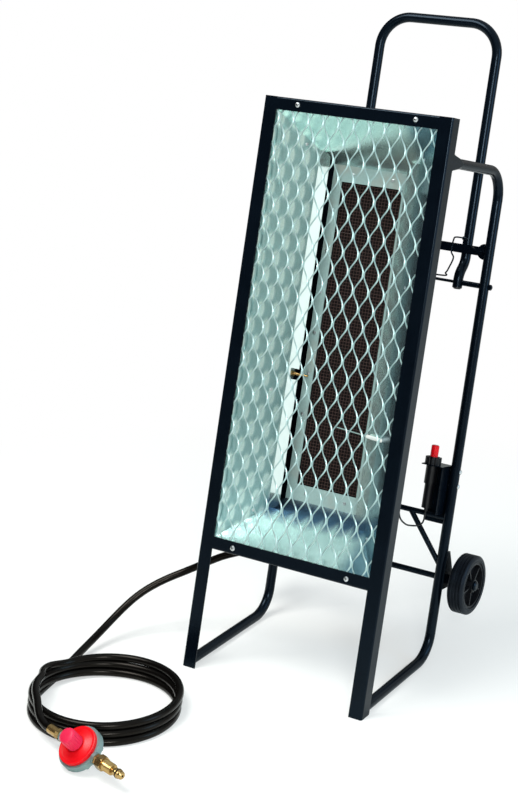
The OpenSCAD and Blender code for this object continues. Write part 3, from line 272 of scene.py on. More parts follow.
def bright_sheet():
    """Aluminised sheet of the reflector: it mirrors softly, with faint rolling streaks and spangle.
    Painted shade darkens it to blue at the burner's ends, behind a scalloped edge, and a painted dark
    reflection darkens it on the right. The left wall has a painted shadow of the guard's diamonds, and
    its lip, that faces the front, is dull white: a painted reflection."""
    f = Finish("bright_sheet")
    cloud = f.noise(0.08, 2)
    streak = f.noise(0.004, 2, where=f.stretched((9, 9, 0.35)))
    spangle = f.out("ShaderNodeTexVoronoi", {}, Vector=f.place(), Scale=260.0, output="Color")
    grain = f.out("ShaderNodeSeparateColor", {}, spangle)
    tone = 0.55 * cloud + 0.3 * streak + 0.15 * grain
    unshaded = f.mix(tone, (0.62, 0.80, 0.75), (0.76, 0.95, 0.90))
    # metres from the middle plane, behind the front face, and up from the window's middle
    across = f.along((1, 0, 0))
    depth = f.along(stand_way(0, 1, 0), stand(0, 0, 0))
    height = f.along(stand_way(0, 0, 1), stand(0, 0, WINDOW_S))
    # painted shade in blue behind a scalloped edge on the end walls, and a painted dark reflection everywhere
    # towards the right
    scallop = across.repeat(MESH_X * MM)
    edge = depth + 0.01 * f.noise(0.03, 2) - 0.055 * scallop * scallop
    low = (-1.0 * height).between(0.325, 0.345) * edge.between(0.062, 0.084)
    high = height.between(0.325, 0.35) * edge.between(0.088, 0.122)
    right = across.between(0.095, 0.125) * (1.0 - 0.3 * cloud)
    ends = f.mix(0.92 * low + 0.6 * high, unshaded, (0.04, 0.12, 0.24))
    painted_dark_walls = f.mix(0.9 * right, ends, (0.05, 0.17, 0.26))
    # the guard's painted shadow: two families of slanting lines on the inner face of the left wall
    rise, run = height * (1 / (MESH_S * MM)), depth * (1 / (GUARD_SHADOW_DEPTH * MM))
    one, other = (rise + run).repeat(1), (rise - run).repeat(1)
    inner = f.dot(f.node("ShaderNodeNewGeometry", {}).outputs["True Normal"], (1, 0, 0)).between(0.1, 0.4)
    off_line = (one * one * other * other).between(0.0006, 0.009)
    line = (1.0 - off_line) * inner * (-1.0 * across).between(0.104, 0.112)
    guard_shadow_painted = f.mix(0.62 * line, painted_dark_walls, (0.12, 0.31, 0.33))
    # the lip: the left wall's edge, that faces the front between the end walls; dull white here is a painted
    # reflection
    lip = depth.between(0.0842, 0.0848) * (1.0 - (height * height).between(0.105, 0.109))
    lip = lip * (-1.0 * across).between(0.083, 0.085) * (1.0 - depth.between(0.087, 0.088))
    f.set("Base Color", f.mix(lip, guard_shadow_painted, (0.74, 0.84, 0.81)))
    f.set("Metallic", 0.9 - 0.85 * lip)
    f.set("Roughness", 0.13 + 0.08 * cloud + 0.05 * grain + 0.2 * lip)
    f.set("Normal", f.bump(cloud, 0.0012, 0.12))
    return f.material


def guard_coat():
    """Pale zinc coat of the guard, duller and greyer where it was stretched."""
    f = Finish("guard_coat", metallic=0.6)
    cloud = f.noise(0.02, 3)
    grit = f.noise(0.0012, 2)
    f.set("Base Color", f.mix(cloud, (0.34, 0.50, 0.50), (0.48, 0.64, 0.62)))
    f.set("Roughness", 0.27 + 0.12 * grit)
    f.set("Normal", f.bump(grit, 0.0002, 0.3))
    return f.material


def burner_sheet():
    """Sheet of the burner's frame and box: dull pale steel with warm heat stains."""
    f = Finish("burner_sheet", metallic=0.25)
    stain = f.noise(0.045, 4).between(0.5, 0.78)
    grain = f.noise(0.004, 3)
    base = f.mix(grain, (0.29, 0.43, 0.41), (0.41, 0.56, 0.53))
    f.set("Base Color", f.mix(0.5 * stain, base, (0.42, 0.31, 0.24)))
    f.set("Roughness", 0.38 + 0.15 * grain)
    f.set("Normal", f.bump(grain, 0.0003, 0.25))
    return f.material


def heat_wire():
    """Screen wire tinted brown by heat."""
    f = Finish("heat_wire", metallic=0.3)
    tint = f.noise(0.03, 3)
    fine = f.noise(0.003, 2)
    f.set("Base Color", f.mix(tint, (0.03, 0.010, 0.007), (0.085, 0.042, 0.032)))
    f.set("Roughness", 0.4 + 0.2 * fine)
    f.set("Normal", f.bump(fine, 0.0001, 0.3))
    return f.material


def plaque_ceramic():
    """Ceramic plaque: dark face with rows of fine gas holes, which are drawn darker still as painted shade in
    them.
    """
    f = Finish("plaque_ceramic", specular_ior_level=0.12)
    pitch = 2.1 * MM
    across = f.along((1, 0, 0)).repeat(pitch)
    up = f.along(stand_way(0, 0, 1)).repeat(pitch)
    hole = 1.0 - (across * across + up * up).between(0.05, 0.11)
    cloud = f.noise(0.03, 3)
    face = f.mix(cloud, (0.0035, 0.003, 0.0035), (0.010, 0.0065, 0.006))
    # painted shade: the holes are coloured darker than the face
    f.set("Base Color", f.mix(hole, face, (0.0012, 0.0009, 0.0009)))
    f.set("Roughness", 0.75 + 0.15 * cloud)
    f.set("Normal", f.bump(1.0 - hole, 0.0006, 0.8))
    return f.material


def white_ceramic():
    """Glazed white ceramic of the electrode."""
    f = Finish("white_ceramic", coat_weight=0.4, coat_roughness=0.08)
    cloud = f.noise(0.012, 3)
    f.set("Base Color", f.mix(cloud, (0.70, 0.71, 0.68), (0.85, 0.85, 0.80)))
    f.set("Roughness", 0.2 + 0.1 * cloud)
    return f.material


def zinc_cast():
    """Die-cast zinc: grey-green, slightly rough."""
    f = Finish("zinc_cast", metallic=0.65)
    cloud = f.noise(0.02, 3)
    grit = f.noise(0.0011, 2)
    f.set("Base Color", f.mix(cloud, (0.15, 0.23, 0.23), (0.27, 0.37, 0.36)))
    f.set("Roughness", 0.34 + 0.18 * grit)
    f.set("Normal", f.bump(grit, 0.0002, 0.4))
    return f.material


def plated_steel():
    """Bright zinc-plated steel of screws, rods and nuts."""
    f = Finish("plated_steel", metallic=0.95)
    cloud = f.noise(0.008, 3)
    fine = f.noise(0.0008, 2)
    f.set("Base Color", f.mix(cloud, (0.50, 0.53, 0.54), (0.70, 0.72, 0.72)))
    f.set("Roughness", 0.2 + 0.16 * fine)
    f.set("Normal", f.bump(fine, 0.0001, 0.25))
    return f.material


def turned_brass():
    """Brass turned on a lathe, with darker tarnish."""
    f = Finish("turned_brass", metallic=0.9)
    tarnish = f.noise(0.009, 4)
    fine = f.noise(0.0007, 2)
    f.set("Base Color", f.mix(tarnish, (0.27, 0.15, 0.045), (0.56, 0.39, 0.16)))
    f.set("Roughness", 0.14 + 0.2 * tarnish)
    f.set("Normal", f.bump(fine, 0.0001, 0.3))
    return f.material


def copper_tube():
    """Soft copper capillary."""
    f = Finish("copper_tube", metallic=0.9)
    tarnish = f.noise(0.015, 4)
    f.set("Base Color", f.mix(tarnish, (0.38, 0.17, 0.09), (0.68, 0.36, 0.23)))
    f.set("Roughness", 0.26 + 0.25 * tarnish)
    return f.material


def hose_cover():
    """Rubber hose cover: black, half gloss, with fine cloth marks from its wrapping."""
    f = Finish("hose_cover", specular_ior_level=0.13, specular_tint=(1.0, 0.9, 0.78))
    cloud = f.noise(0.04, 3)
    grain = f.noise(0.0012, 3)
    f.set("Base Color", f.mix(cloud, (0.0012, 0.001, 0.0009), (0.003, 0.0025, 0.0022)))
    f.set("Roughness", 0.13 + 0.1 * cloud + 0.06 * grain)
    f.set("Normal", f.bump(grain, 0.0002, 0.35))
    return f.material


def tyre_rubber():
    """Tyre rubber: dull black with greyish dust."""
    f = Finish("tyre_rubber", specular_ior_level=0.2, specular_tint=(0.6, 0.78, 1.0))
    dust = f.noise(0.02, 4)
    grain = f.noise(0.001, 2)
    f.set("Base Color", f.mix(dust, (0.002, 0.0025, 0.0035), (0.006, 0.007, 0.0095)))
    f.set("Roughness", 0.34 + 0.2 * dust)
    f.set("Normal", f.bump(grain, 0.0002, 0.5))
    return f.material


def moulded(name, dark, light, gloss, sheen):
    """Moulded plastic: two close tones, fine moulding texture and a soft sheen."""
    f = Finish(name, specular_ior_level=sheen)
    cloud = f.noise(0.015, 3)
    grain = f.noise(0.0009, 2)
    f.set("Base Color", f.mix(cloud, dark, light))
    f.set("Roughness", gloss + 0.12 * cloud + 0.06 * grain)
    f.set("Normal", f.bump(grain, 0.00012, 0.3))
    return f.material


FINISHES = dict(
    black_frame=powder_coat(),
    reflector=bright_sheet(),
    guard=guard_coat(),
    burner_steel=burner_sheet(),
    plaque=plaque_ceramic(),
    ceramic=white_ceramic(),
    zinc=zinc_cast(),
    bright_steel=plated_steel(),
    brass=turned_brass(),
    copper=copper_tube(),
    hose_rubber=hose_cover(),
    tyre_rubber=tyre_rubber(),
    wheel_plastic=moulded("wheel_plastic", (0.002, 0.0025, 0.0035), (0.005, 0.006, 0.008), 0.34, 0.25),
    black_plastic=moulded("black_plastic", (0.0015, 0.0018, 0.0024), (0.004, 0.0045, 0.006), 0.26, 0.3),
    red_plastic=moulded("red_plastic", (0.60, 0.001, 0.004), (0.78, 0.003, 0.010), 0.24, 0.28),
    knob_plastic=moulded("knob_plastic", (0.58, 0.007, 0.045), (0.74, 0.018, 0.075), 0.34, 0.3),
)
WIRE = heat_wire()

SLOT_OF = {row["node"]: row["material_slot"] for row in frame["record"]["subparts"]}


# ---------------------------------------------------------------- mesh making


def grid(rows, cols, close_rows=False, close_cols=False):
    """Quads of a grid whose points run col by col within each row; either way may close on itself."""
    r = np.arange(rows if close_rows else rows - 1)
    c = np.arange(cols if close_cols else cols - 1)
    r, c = np.meshgrid(r, c, indexing="ij")
    r1, c1 = (r + 1) % rows, (c + 1) % cols
    quads = np.stack([r * cols + c, r * cols + c1, r1 * cols + c1, r1 * cols + c], -1)
    return quads.reshape(-1, 4)


def capped(rows, cols):
    """Faces of rings joined row by row, with a flat face on the first and on the last."""
    faces = grid(rows, cols, close_cols=True).tolist()
    return faces + [list(range(cols)), list(range((rows - 1) * cols, rows * cols))]


def piece(name, points, faces, slot, body="stand", replaces=(), crease=35, finish=None):
    """A mesh of these points and faces in metres: smooth but for edges sharper than crease degrees."""
    mesh = bpy.data.meshes.new(name)
    mesh.from_pydata(np.asarray(points).reshape(-1, 3).tolist(), [], [list(map(int, f)) for f in faces])
    work = bmesh.new()
    work.from_mesh(mesh)
    bmesh.ops.remove_doubles(work, verts=work.verts, dist=1e-7)
    bmesh.ops.recalc_face_normals(work, faces=work.faces)
    limit = math.radians(crease)
    for edge in work.edges:
        edge.smooth = edge.calc_face_angle(0.0) < limit
    for face in work.faces:
        face.smooth = True
    work.to_mesh(mesh)
    work.free()
    mesh.materials.append(finish or FINISHES[slot])
    made = bpy.data.objects.new(name, mesh)
    bpy.context.scene.collection.objects.link(made)
    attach(made, body)
    if replaces:
        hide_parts(*replaces)
    return made


def joined(*parts):
    """Several (points, faces) as one, with the faces' numbers moved on."""
    points, faces, start = [], [], 0
    for p, f in parts:
        p = np.asarray(p).reshape(-1, 3)
        points.append(p)
        faces += [[int(i) + start for i in face] for face in f]
        start += len(p)
    return np.concatenate(points), faces


def smooth_route(route, steps):
    """A Catmull-Rom curve through the route's points, with this many steps between each two."""
    p = np.asarray(route, float)
    p = np.concatenate([p[:1], p, p[-1:]])
    t = np.arange(steps) / steps
    a, b, c, d = (p[i : len(p) - 3 + i, None, :] for i in range(4))
    t = t[None, :, None]
    curve = 0.5 * (2 * b + (c - a) * t + (2 * a - 5 * b + 4 * c - d) * t**2 + (3 * b - a - 3 * c + d) * t**3)
    return np.concatenate([curve.reshape(-1, 3), np.asarray(route[-1:], float)])


def tube(path, radius, sides, aside=(0, 0, 1)):
    """A circle carried along a path: at each point u is aside less its share along the heading,
    w is the heading crossed with u, and the ring is point + radius (cos u + sin w). Flat caps close it."""
    path = np.asarray(path, float)
    heading = unit(np.gradient(path, axis=0))
    aside = np.asarray(aside, float)
    u = unit(aside - (aside * heading).sum(-1, keepdims=True) * heading)
    w = np.cross(heading, u)
    a = (np.arange(sides) * TAU / sides)[:, None]
    ring = path[:, None] + radius * (np.cos(a) * u[:, None] + np.sin(a) * w[:, None])
    return ring.reshape(-1, 3), capped(len(path), sides)


def turned(profile, centre, axis, steps, shape=None):
    """A profile of (radius, height) pairs in millimetres, turned round an axis: each point is
    centre + height axis + radius (cos u + sin w). shape(angle, radius, height) may reshape the
    radius. The ends are closed."""
    axis = unit(axis)
    u = unit(np.cross(axis, [0, 0, 1] if abs(axis[2]) < 0.9 else [1, 0, 0]))
    w = np.cross(axis, u)
    r, h = (np.asarray(v, float)[:, None] for v in zip(*profile))
    a = (np.arange(steps) * TAU / steps)[None]
    r = (shape(a, r, h) if shape else np.broadcast_to(r, (len(r), steps)))[..., None] * MM
    h = h[..., None] * MM
    ring = np.asarray(centre) + h * axis + r * (np.cos(a)[..., None] * u + np.sin(a)[..., None] * w)
    return ring.reshape(-1, 3), capped(len(profile), steps)


def turned_ring(section, centre, axis, steps, shape=None):
    """The same for a section that closes on itself round the axis, so that nothing needs a cap."""
    points, _ = turned(section, centre, axis, steps, shape)
    return points, grid(len(section), steps, True, True).tolist()


# ---------------------------------------------------------------- hose

HOSE = 15 * MM
LEAD = [  # from the valve to the coil, millimetres in the toes' axes
    (-58, 198.5, 216.2), (-68, 198.5, 216.2), (-78, 198.5, 216.2), (-108, 195, 210.5), (-135, 189, 203),
    (-162, 181, 194), (-190, 173, 184), (-218, 165, 172), (-245, 157, 157), (-270, 149, 142),
    (-293, 137, 129), (-314, 120, 118), (-334, 100, 106), (-352, 80, 92), (-366, 60, 77),
    (-377, 36, 60), (-384, 8, 44), (-387.5, -22, 31), (-388, -56, 21), (-385, -92, 15),
    (-380, -130, 10), (-373, -170, 7.8), (-365.5, -205, 7.8),
]  # fmt: skip
REG_AT = np.array([-131, -427, 32.46])  # the middle of the regulator
REG_TURN = math.radians(17)
FLOW = np.array([math.cos(REG_TURN), -math.sin(REG_TURN), 0])
FITTING = REG_AT - 95 * FLOW  # where the hose ends in its fitting
TAIL = [  # from the coil to the fitting
    (-364, -215, 41), (-358, -245, 46), (-341.5, -272, 50), (-330, -301, 52), (-312, -328, 51.5),
    (-289, -352, 48.5), (-270.5, -372, 43), (-253.5, -386, 36),
    FITTING - 14 * FLOW, FITTING - 7 * FLOW, FITTING,
]  # fmt: skip


COIL_FIRST, COIL_LAST, COIL_STEP = 190, 1240, 15  # degrees round the coil, nearly three turns
COIL_LAYS = np.array([  # the middle's x and y, the radius and the height of each turn
    (-219.8, -237.4, 137.5, 7.5), (-222.2, -231, 138, 20.5), (-224.7, -224.6, 139, 33.5),
])  # fmt: skip


def coil_route():
    """Three turns on each other: the angle runs round, and where one turn goes over into the next,
    its centre, radius and height go smoothly from one lay to the next."""
    angle = np.arange(COIL_FIRST, COIL_LAST + 0.1, COIL_STEP)
    turn = (angle - 180) / 360
    early, span = 0.22, 0.36  # turns: when the change begins before the whole turn, and its length
    lay = 0
    for whole in (1, 2):
        ease = np.clip((turn - whole + early) / span, 0, 1)
        lay = lay + ease * ease * (3 - 2 * ease)
    across, back, radius, height = (np.interp(lay, range(3), column) for column in COIL_LAYS.T)
    a = np.radians(angle)
    return np.stack([across + radius * np.cos(a), back + radius * np.sin(a), height], -1)


hose_path = ground(smooth_route(np.concatenate([LEAD, coil_route(), TAIL]), ROUTE_STEPS))
hose = piece(
    "hose", *tube(hose_path, HOSE / 2, 28), "hose_rubber", replaces=("hose_lead", "hose_coil", "hose_tail")
)


# ---------------------------------------------------------------- leads and bail

COPPER_ROUTE = [  # stand coordinates, from the probe to the valve
    (-109.1, 93, 607), (-113.1, 94, 606.5), (-118.1, 98, 604), (-120.1, 106, 597), (-120.1, 118, 580),
    (-119.6, 128, 550), (-119.1, 132, 500), (-119.1, 134, 440), (-118.1, 136, 380), (-114.1, 138, 330),
    (-100, 138, 298), (-76, 134, 280), (-52, 122, 268), (-35, 107, 261), (-20, 99, 257.5),
    (-10.5, 101, 257), (-7, 109, 257), (-7, 122, 257),
]  # fmt: skip
SPARK_ROUTE = [  # from the electrode to the igniter
    (142.5, 58.2, 518), (150, 55.4, 518), (159, 54.5, 517), (166, 57, 513), (169.5, 65, 504), (170, 74, 488),
    (169, 82, 462), (166, 92, 430), (162, 108, 398), (156, 136, 368), (150, 180, 349), (146, 220, 341),
    (147, 248, 339), (149.5, 263, 344), (150, 268, 358), (150, 268, 368),
]  # fmt: skip


def lead(name, route, diameter, slot, replaces):
    """A lead between two pieces of the object: a tube along its route, given in stand coordinates."""
    path = stand(*smooth_route(route, ROUTE_STEPS).T)
    made = piece(name, *tube(path, diameter / 2, 16, (1, 0.2, 0)), slot, replaces=replaces)


lead("copper_lead", COPPER_ROUTE, 2.6 * MM, "copper", ("thermocouple_lead",))
lead("spark_lead", SPARK_ROUTE, 3.5 * MM, "black_plastic", ("ignition_lead",))

BAIL_E, BAIL_S, BAIL_X, BAIL_WIRE = 299.0, 920.0, 126.0, 3.2  # its eyes' place and its thickness
BAIL_BENDS = [(11, 0), (-14, 0), (-19.5, -6), (-20.5, -30), (-14, -42), (-20, -62), (-26, -74), (-40, -81)]


def bail_wire():
    """One wire from eye to eye: in from each eye, down, round the kinks and across, bends rounded."""
    half = [(BAIL_X + x, s) for x, s in BAIL_BENDS]
    route = [(x, 0, s) for x, s in half] + [(-x, 0, s) for x, s in reversed(half)]
    x, _, s = smooth_route(route, 8).T
    return tube(stand(x, BAIL_E, BAIL_S + s), BAIL_WIRE * MM / 2, 16, stand_way(0, 1, 0))


piece("bail_bent_wire", *bail_wire(), "black_frame", "bail_wire", ("bail",))


# ---------------------------------------------------------------- guard

GUARD_E = 3.6  # middle of the sheet, behind the front face
GUARD_HALF, GUARD_TUCK = 194.0, 19.0  # half the sheet's width, and how far it runs behind the bars
BOND = 9.0  # length of a bond
STRAND_WIDE, STRAND_THIN, STRAND_ROUND = 1.7, 0.7, 0.55  # half sizes, and how square the section is
STRAND_TILT = math.radians(38)


def expanded_metal():
    """Strands of stretched sheet. Each runs up the slope and swings between two columns of bonds:
    its x goes to and fro with s as a wave with flat parts at the bonds, and its narrow section,
    a rounded rectangle, is turned by the same wave, so that it leans one way and then the other."""
    half_x, half_s = MESH_X / 2, MESH_S / 2
    reach = GUARD_HALF // half_x * half_x
    columns = np.arange(-reach, reach, half_x)
    low, high = WINDOW_LOW - GUARD_TUCK - WINDOW_S, WINDOW_HIGH + GUARD_TUCK - WINDOW_S
    # rings of a strand within half a diamond: at the bond's ends and round the slope's bends
    near = 4
    marks = np.array([0, BOND / 2, BOND / 2 + near, half_s / 2 - near, half_s / 2 + near,
                      half_s - BOND / 2 - near, half_s - BOND / 2])  # fmt: skip
    first, count = math.floor(low / half_s) * half_s, int((high - low) / half_s) + 3
    s = (first + np.arange(count)[:, None] * half_s + marks).ravel()
    s = np.unique(np.clip(s, low, high).round(4))
    parity = np.round(columns / half_x).astype(int) % 2
    phase = (s[None] / half_s + parity[:, None]) % 2
    flat = BOND / 2 / half_s
    wave = np.clip((1 - np.abs(phase - 1) - flat) / (1 - 2 * flat), 0, 1)
    wave = wave - np.sin(wave * TAU) * 0.035  # eases the slope into the bonds
    beside = 1.5  # from a column's middle to the middle of the strand on its bond
    x = columns[:, None] + beside + wave * (half_x - 2 * beside)
    lean = STRAND_TILT * (2 * wave - 1)
    a = np.arange(8) * TAU / 8 + TAU / 16
    p, q = (h * np.sign(v) * np.abs(v) ** STRAND_ROUND
            for h, v in ((STRAND_WIDE, np.cos(a)), (STRAND_THIN, np.sin(a))))  # fmt: skip
    across = p * np.cos(lean)[..., None] - q * np.sin(lean)[..., None]
    deep = p * np.sin(lean)[..., None] + q * np.cos(lean)[..., None]
    points = stand(x[..., None] + across, GUARD_E + deep, (WINDOW_S + s)[None, :, None])
    return joined(*[(strand, capped(len(s), len(a))) for strand in points])


piece("guard_mesh", *expanded_metal(), "guard", replaces=("guard",), crease=60)

SCREW_X, SCREW_FRONT, SCREW_ROWS = 127.0, -3.4, (255.5, 1130.0)  # the heads' places
CROSS_LONG, CROSS_WIDE, CROSS_DEEP = 1.9, 0.45, 0.3  # half the length and width of a bar, and its depth


def screw_slot_shades():
    """Painted shade of the cross recess in each face screw's head: two flat dark bars, turned a little from
    screw to screw.
    """
    faces = [[0, 1, 2, 3], [7, 6, 5, 4], [0, 4, 5, 1], [1, 5, 6, 2], [2, 6, 7, 3], [3, 7, 4, 0]]
    parts = []
    for number, (x, s) in enumerate((side * SCREW_X, s) for side in (-1, 1) for s in SCREW_ROWS):
        for quarter in (0, 1):
            a = math.radians(20 + 37 * number + 90 * quarter)
            long, wide = (CORNERS * [CROSS_LONG, CROSS_WIDE]).T
            across = long * math.cos(a) - wide * math.sin(a)
            up = long * math.sin(a) + wide * math.cos(a)
            proud = (0.07 + 0.02 * quarter, -CROSS_DEEP)  # one bar stands out a hair past the other
            layers = [stand(x + across, SCREW_FRONT - out, s + up) for out in proud]
            parts.append((np.concatenate(layers), faces))
    return joined(*parts)


piece("face_screw_slot_shade", *screw_slot_shades(), "black_plastic", crease=30)


# ---------------------------------------------------------------- burner screen

GLOW_W, GLOW_H = 134.0, 608.0  # the glowing face
SCREEN_E, SCREEN_WIRE, SCREEN_PITCH = 114.5, 0.8, 6.4
HEM_IN, HEM_OUT, HEM_FRONT, HEM_BACK = 1.0, 3.6, 0.05, 2.05  # past the glowing face, behind SCREEN_E


def woven_screen():
    """Woven wire: each wire is a tube whose depth follows a cosine of its length, half a wave to
    a pitch, and neighbours are half a wave apart, so that wires pass over and under by turns."""
    middle = SCREEN_E + (HEM_FRONT + HEM_BACK) / 2
    r = SCREEN_WIRE / 2
    sides, rings = 6, 3  # round a wire, and along it to a pitch
    a = np.arange(sides) * TAU / sides
    parts = []
    for upright, span, breadth in ((True, GLOW_H, GLOW_W), (False, GLOW_W, GLOW_H)):
        wires, steps = (int(size / SCREEN_PITCH / 2) for size in (breadth, span))
        t = np.arange(-steps * rings, steps * rings + 1) * SCREEN_PITCH / rings
        i = np.arange(-wires, wires + 1)
        sign = 1.0 if upright else -1.0
        deep = sign * r * np.cos(math.pi * (t[None] / SCREEN_PITCH + i[:, None]))
        c, d, v = np.broadcast_arrays(
            i[:, None, None] * SCREEN_PITCH + r * np.cos(a), deep[..., None] + r * np.sin(a), t[None, :, None]
        )
        x, s = (c, v) if upright else (v, c)
        parts += [(wire, capped(len(t), sides)) for wire in stand(x, middle + d, WINDOW_S + s)]
    inner, outer = (CORNERS * [GLOW_W / 2 + out, GLOW_H / 2 + out] for out in (HEM_IN, HEM_OUT))
    loops = [(outer, HEM_FRONT), (inner, HEM_FRONT), (inner, HEM_BACK), (outer, HEM_BACK)]
    points = np.concatenate([stand(p[:, 0], SCREEN_E + e, WINDOW_S + p[:, 1]) for p, e in loops])
    parts.append((points, grid(4, 4, True, True).tolist()))
    return joined(*parts)


piece("screen_mesh", *woven_screen(), "burner_steel", replaces=("burner_screen",), crease=60, finish=WIRE)


# ---------------------------------------------------------------- regulator

NUT_START = 53.0  # along the flow from the regulator's middle
O_RING_AT, O_RING_R, O_RING_THICK = 54.0, 7.0, 2.1  # from the nut's start, its radius, its section's


def flow_point(distance):
    """A point on the regulator's gas line, this far along the flow in millimetres."""
    return ground(REG_AT + distance * FLOW)


def threaded_nut():
    """Brass cylinder nut. Its radius depends on angle and length: six flats with chamfered corners on
    the hexagon, then a ridge that climbs one pitch a turn, fading out at both ends."""
    flats, hex_end, end, thread_r, bore = 12.0, 15.0, 40.0, 10.5, 5.58
    corner_rise = 1.2  # radius gained by the chamfer's cone for each millimetre from a face
    pitch, depth, run_out, lead_in = 1.9, 1.0, 2.0, 1.4  # the thread's, its fading's and its tip's
    neck, neck_in = 2.5, 0.9  # a plain length behind the hexagon, and how far it lies inside the thread
    bevel = np.array([0, 0.01, 1.3, 2.6])
    h = np.concatenate([bevel, hex_end - bevel[:0:-1], np.linspace(hex_end, end, 107)])

    def radius(a, r, height):
        """The bore's own radius, and elsewhere the outside's."""
        corner = flats / np.cos((a % (TAU / 6)) - TAU / 12)
        chamfer = flats + 0.15 + np.minimum(height, hex_end - height) * corner_rise
        ridge = np.abs(((height / pitch - a / TAU) % 1) * 2 - 1)
        fade_in, fade_out = np.clip((height - hex_end - run_out) / run_out, 0, 1), (end - height) / run_out
        thread = thread_r - depth * ridge * fade_in * np.clip(fade_out, 0.25, 1)
        thread = thread - lead_in * np.clip(1 - fade_out, 0, 1)
        thread = np.where(height < hex_end + neck, thread_r - neck_in, thread)
        outside = np.where(height < hex_end, np.minimum(corner, chamfer), thread)
        return np.where(r > 0, r, outside)

    section = [(0, v) for v in h] + [(bore, end), (bore, 0)]
    return turned_ring(section, flow_point(NUT_START), FLOW, 72, radius)


TILT = math.radians(40)  # of the regulator's axis, towards its front
FACE = np.array(
    [-math.sin(REG_TURN) * math.sin(TILT), -math.cos(REG_TURN) * math.sin(TILT), math.cos(TILT)]
)


def face_point(out):
    """A point on the regulator's axis, this far out of the middle of its body in millimetres."""
    return ground(REG_AT + out * FACE)


def ribbed(count, depth, low, high):
    """A reshaping of a turned piece: between two heights its radius swells and shrinks by a wave
    that goes round this many times."""

    def radius(a, r, height):
        inside = (height > low) & (height < high)
        return r - np.where(inside, depth * (0.5 - 0.5 * np.cos(count * a)) ** 1.5, 0)

    return radius


CAP_LOW, CAP_R = 9.05, 37.4  # its back, out of the regulator's middle, and its radius
cap_section = [
    (0.001, 0), (CAP_R, 0), (CAP_R, 0.05), (CAP_R, 6.4), (CAP_R - 0.5, 7.0), (CAP_R - 1.6, 7.35),
    (CAP_R - 4, 7.5), (CAP_R - 4.8, 7.15), (CAP_R - 6, 7.15), (CAP_R - 6.8, 7.6), (28, 8.9), (24, 10.2),
    (21, 11.3), (19.6, 12), (16.5, 12), (16, 11.5), (15.6, 9.5), (0.001, 9.5),
]  # fmt: skip
piece(
    "regulator_cap_knurled",
    *turned(cap_section, face_point(CAP_LOW), FACE, 288, ribbed(48, 1.0, 0.04, 6.5)),
    "red_plastic", replaces=("regulator_cap",), crease=32,
)  # fmt: skip

KNOB_LOW, KNOB_R = 21.45, 15.5  # where it leaves the cap, and its radius
knob_section = [
    (0.001, -4), (11.4, -4), (11.4, 0), (KNOB_R - 0.6, 0), (KNOB_R, 0.6), (KNOB_R, 1), (KNOB_R, 26.5),
    (KNOB_R - 0.35, 28.2), (KNOB_R - 1.3, 29.6), (KNOB_R - 2.8, 30.6), (KNOB_R - 5, 31.3),
    (KNOB_R - 8, 31.5), (0.001, 31.55),
]  # fmt: skip
piece(
    "regulator_knob_fluted",
    *turned(knob_section, face_point(KNOB_LOW), FACE, 192, ribbed(16, 0.9, 0.9, 29)),
    "knob_plastic", "adjuster", ("regulator_knob",), crease=40,
)  # fmt: skip

rim_section = [
    (41.02, -5.6), (41.3, -5.6), (41.7, -5.2), (41.7, -5), (41.7, 7.6), (41.7, 7.8), (41.3, 8.4),
    (41.02, 8.4),
]  # fmt: skip
piece(
    "regulator_rim_ribs",
    *turned_ring(rim_section, face_point(0), FACE, 480, ribbed(96, 0.6, -5.1, 7.7)),
    "zinc", crease=50,
)  # fmt: skip

around = np.arange(16) * TAU / 16
o_ring_section = list(zip(O_RING_R + O_RING_THICK * np.cos(around), O_RING_THICK * np.sin(around)))
piece(
    "fitting_o_ring",
    *turned_ring(o_ring_section, flow_point(NUT_START + O_RING_AT), FLOW, 48),
    "hose_rubber", crease=80,
)  # fmt: skip

piece("cylinder_nut_thread", *threaded_nut(), "brass", "cylinder_nut", ("pol_nut",), crease=28)


# ---------------------------------------------------------------- wheels

WHEEL_IN, WHEEL_W, WHEEL_R, TYRE_T = 223.0, 34.0, 60.5, 13.0  # inner face, width, radius, rubber
AXLE = (320.0, 232.0)  # back and up, in stand coordinates
SHOULDER, GROOVES, GROOVE_DEPTH, GROOVE_HALF, GROOVE_SLOPE = 5, 4, 2.2, 1.7, 0.7  # the tread's


def tyre_profile():
    """Section of a solid tyre, as radius and distance across: a flat tread with round shoulders and
    four grooves, flat side walls with a bead line, and the bore on the wheel's rim."""
    across = np.linspace(0, WHEEL_W, 69)
    edge = np.minimum(across, WHEEL_W - across)
    tread = WHEEL_R - SHOULDER * (1 - np.clip(edge / SHOULDER, 0, 1)) ** 2.2
    middles = WHEEL_W / (GROOVES + 1) * np.arange(1, GROOVES + 1)
    near = np.abs(across[:, None] - middles).min(1)
    tread = tread - GROOVE_DEPTH * np.clip((GROOVE_HALF - near) / GROOVE_SLOPE, 0, 1)
    bore = WHEEL_R - TYRE_T + 0.05
    bead = [(bore, 0), (bore + 2.4, 0), (bore + 2.9, 0.6), (bore + 3.4, 0)]
    back = [(r, WHEEL_W - h) for r, h in reversed(bead)]
    return bead + list(zip(tread, across)) + back


def tyre(side):
    """The section turned round the axle, on the right or mirrored to the left."""
    return turned_ring(tyre_profile(), stand(side * WHEEL_IN, *AXLE), (side, 0, 0), 96)


for side, name in ((1, "right"), (-1, "left")):
    piece(f"tyre_{name}_tread", *tyre(side), "tyre_rubber", f"wheel_{name}", (f"tyre_{name}",), crease=30)


# ---------------------------------------------------------------- finishes on the frame's own nodes

PAINTED = ("axle", "axle_caps")  # bright steel under the stand's black paint

for name, node in frame["nodes"].items():
    if not node.hide_render:
        node.data.materials.clear()
        node.data.materials.append(FINISHES["black_frame" if name in PAINTED else SLOT_OF[name]])


# ---------------------------------------------------------------- floor and light


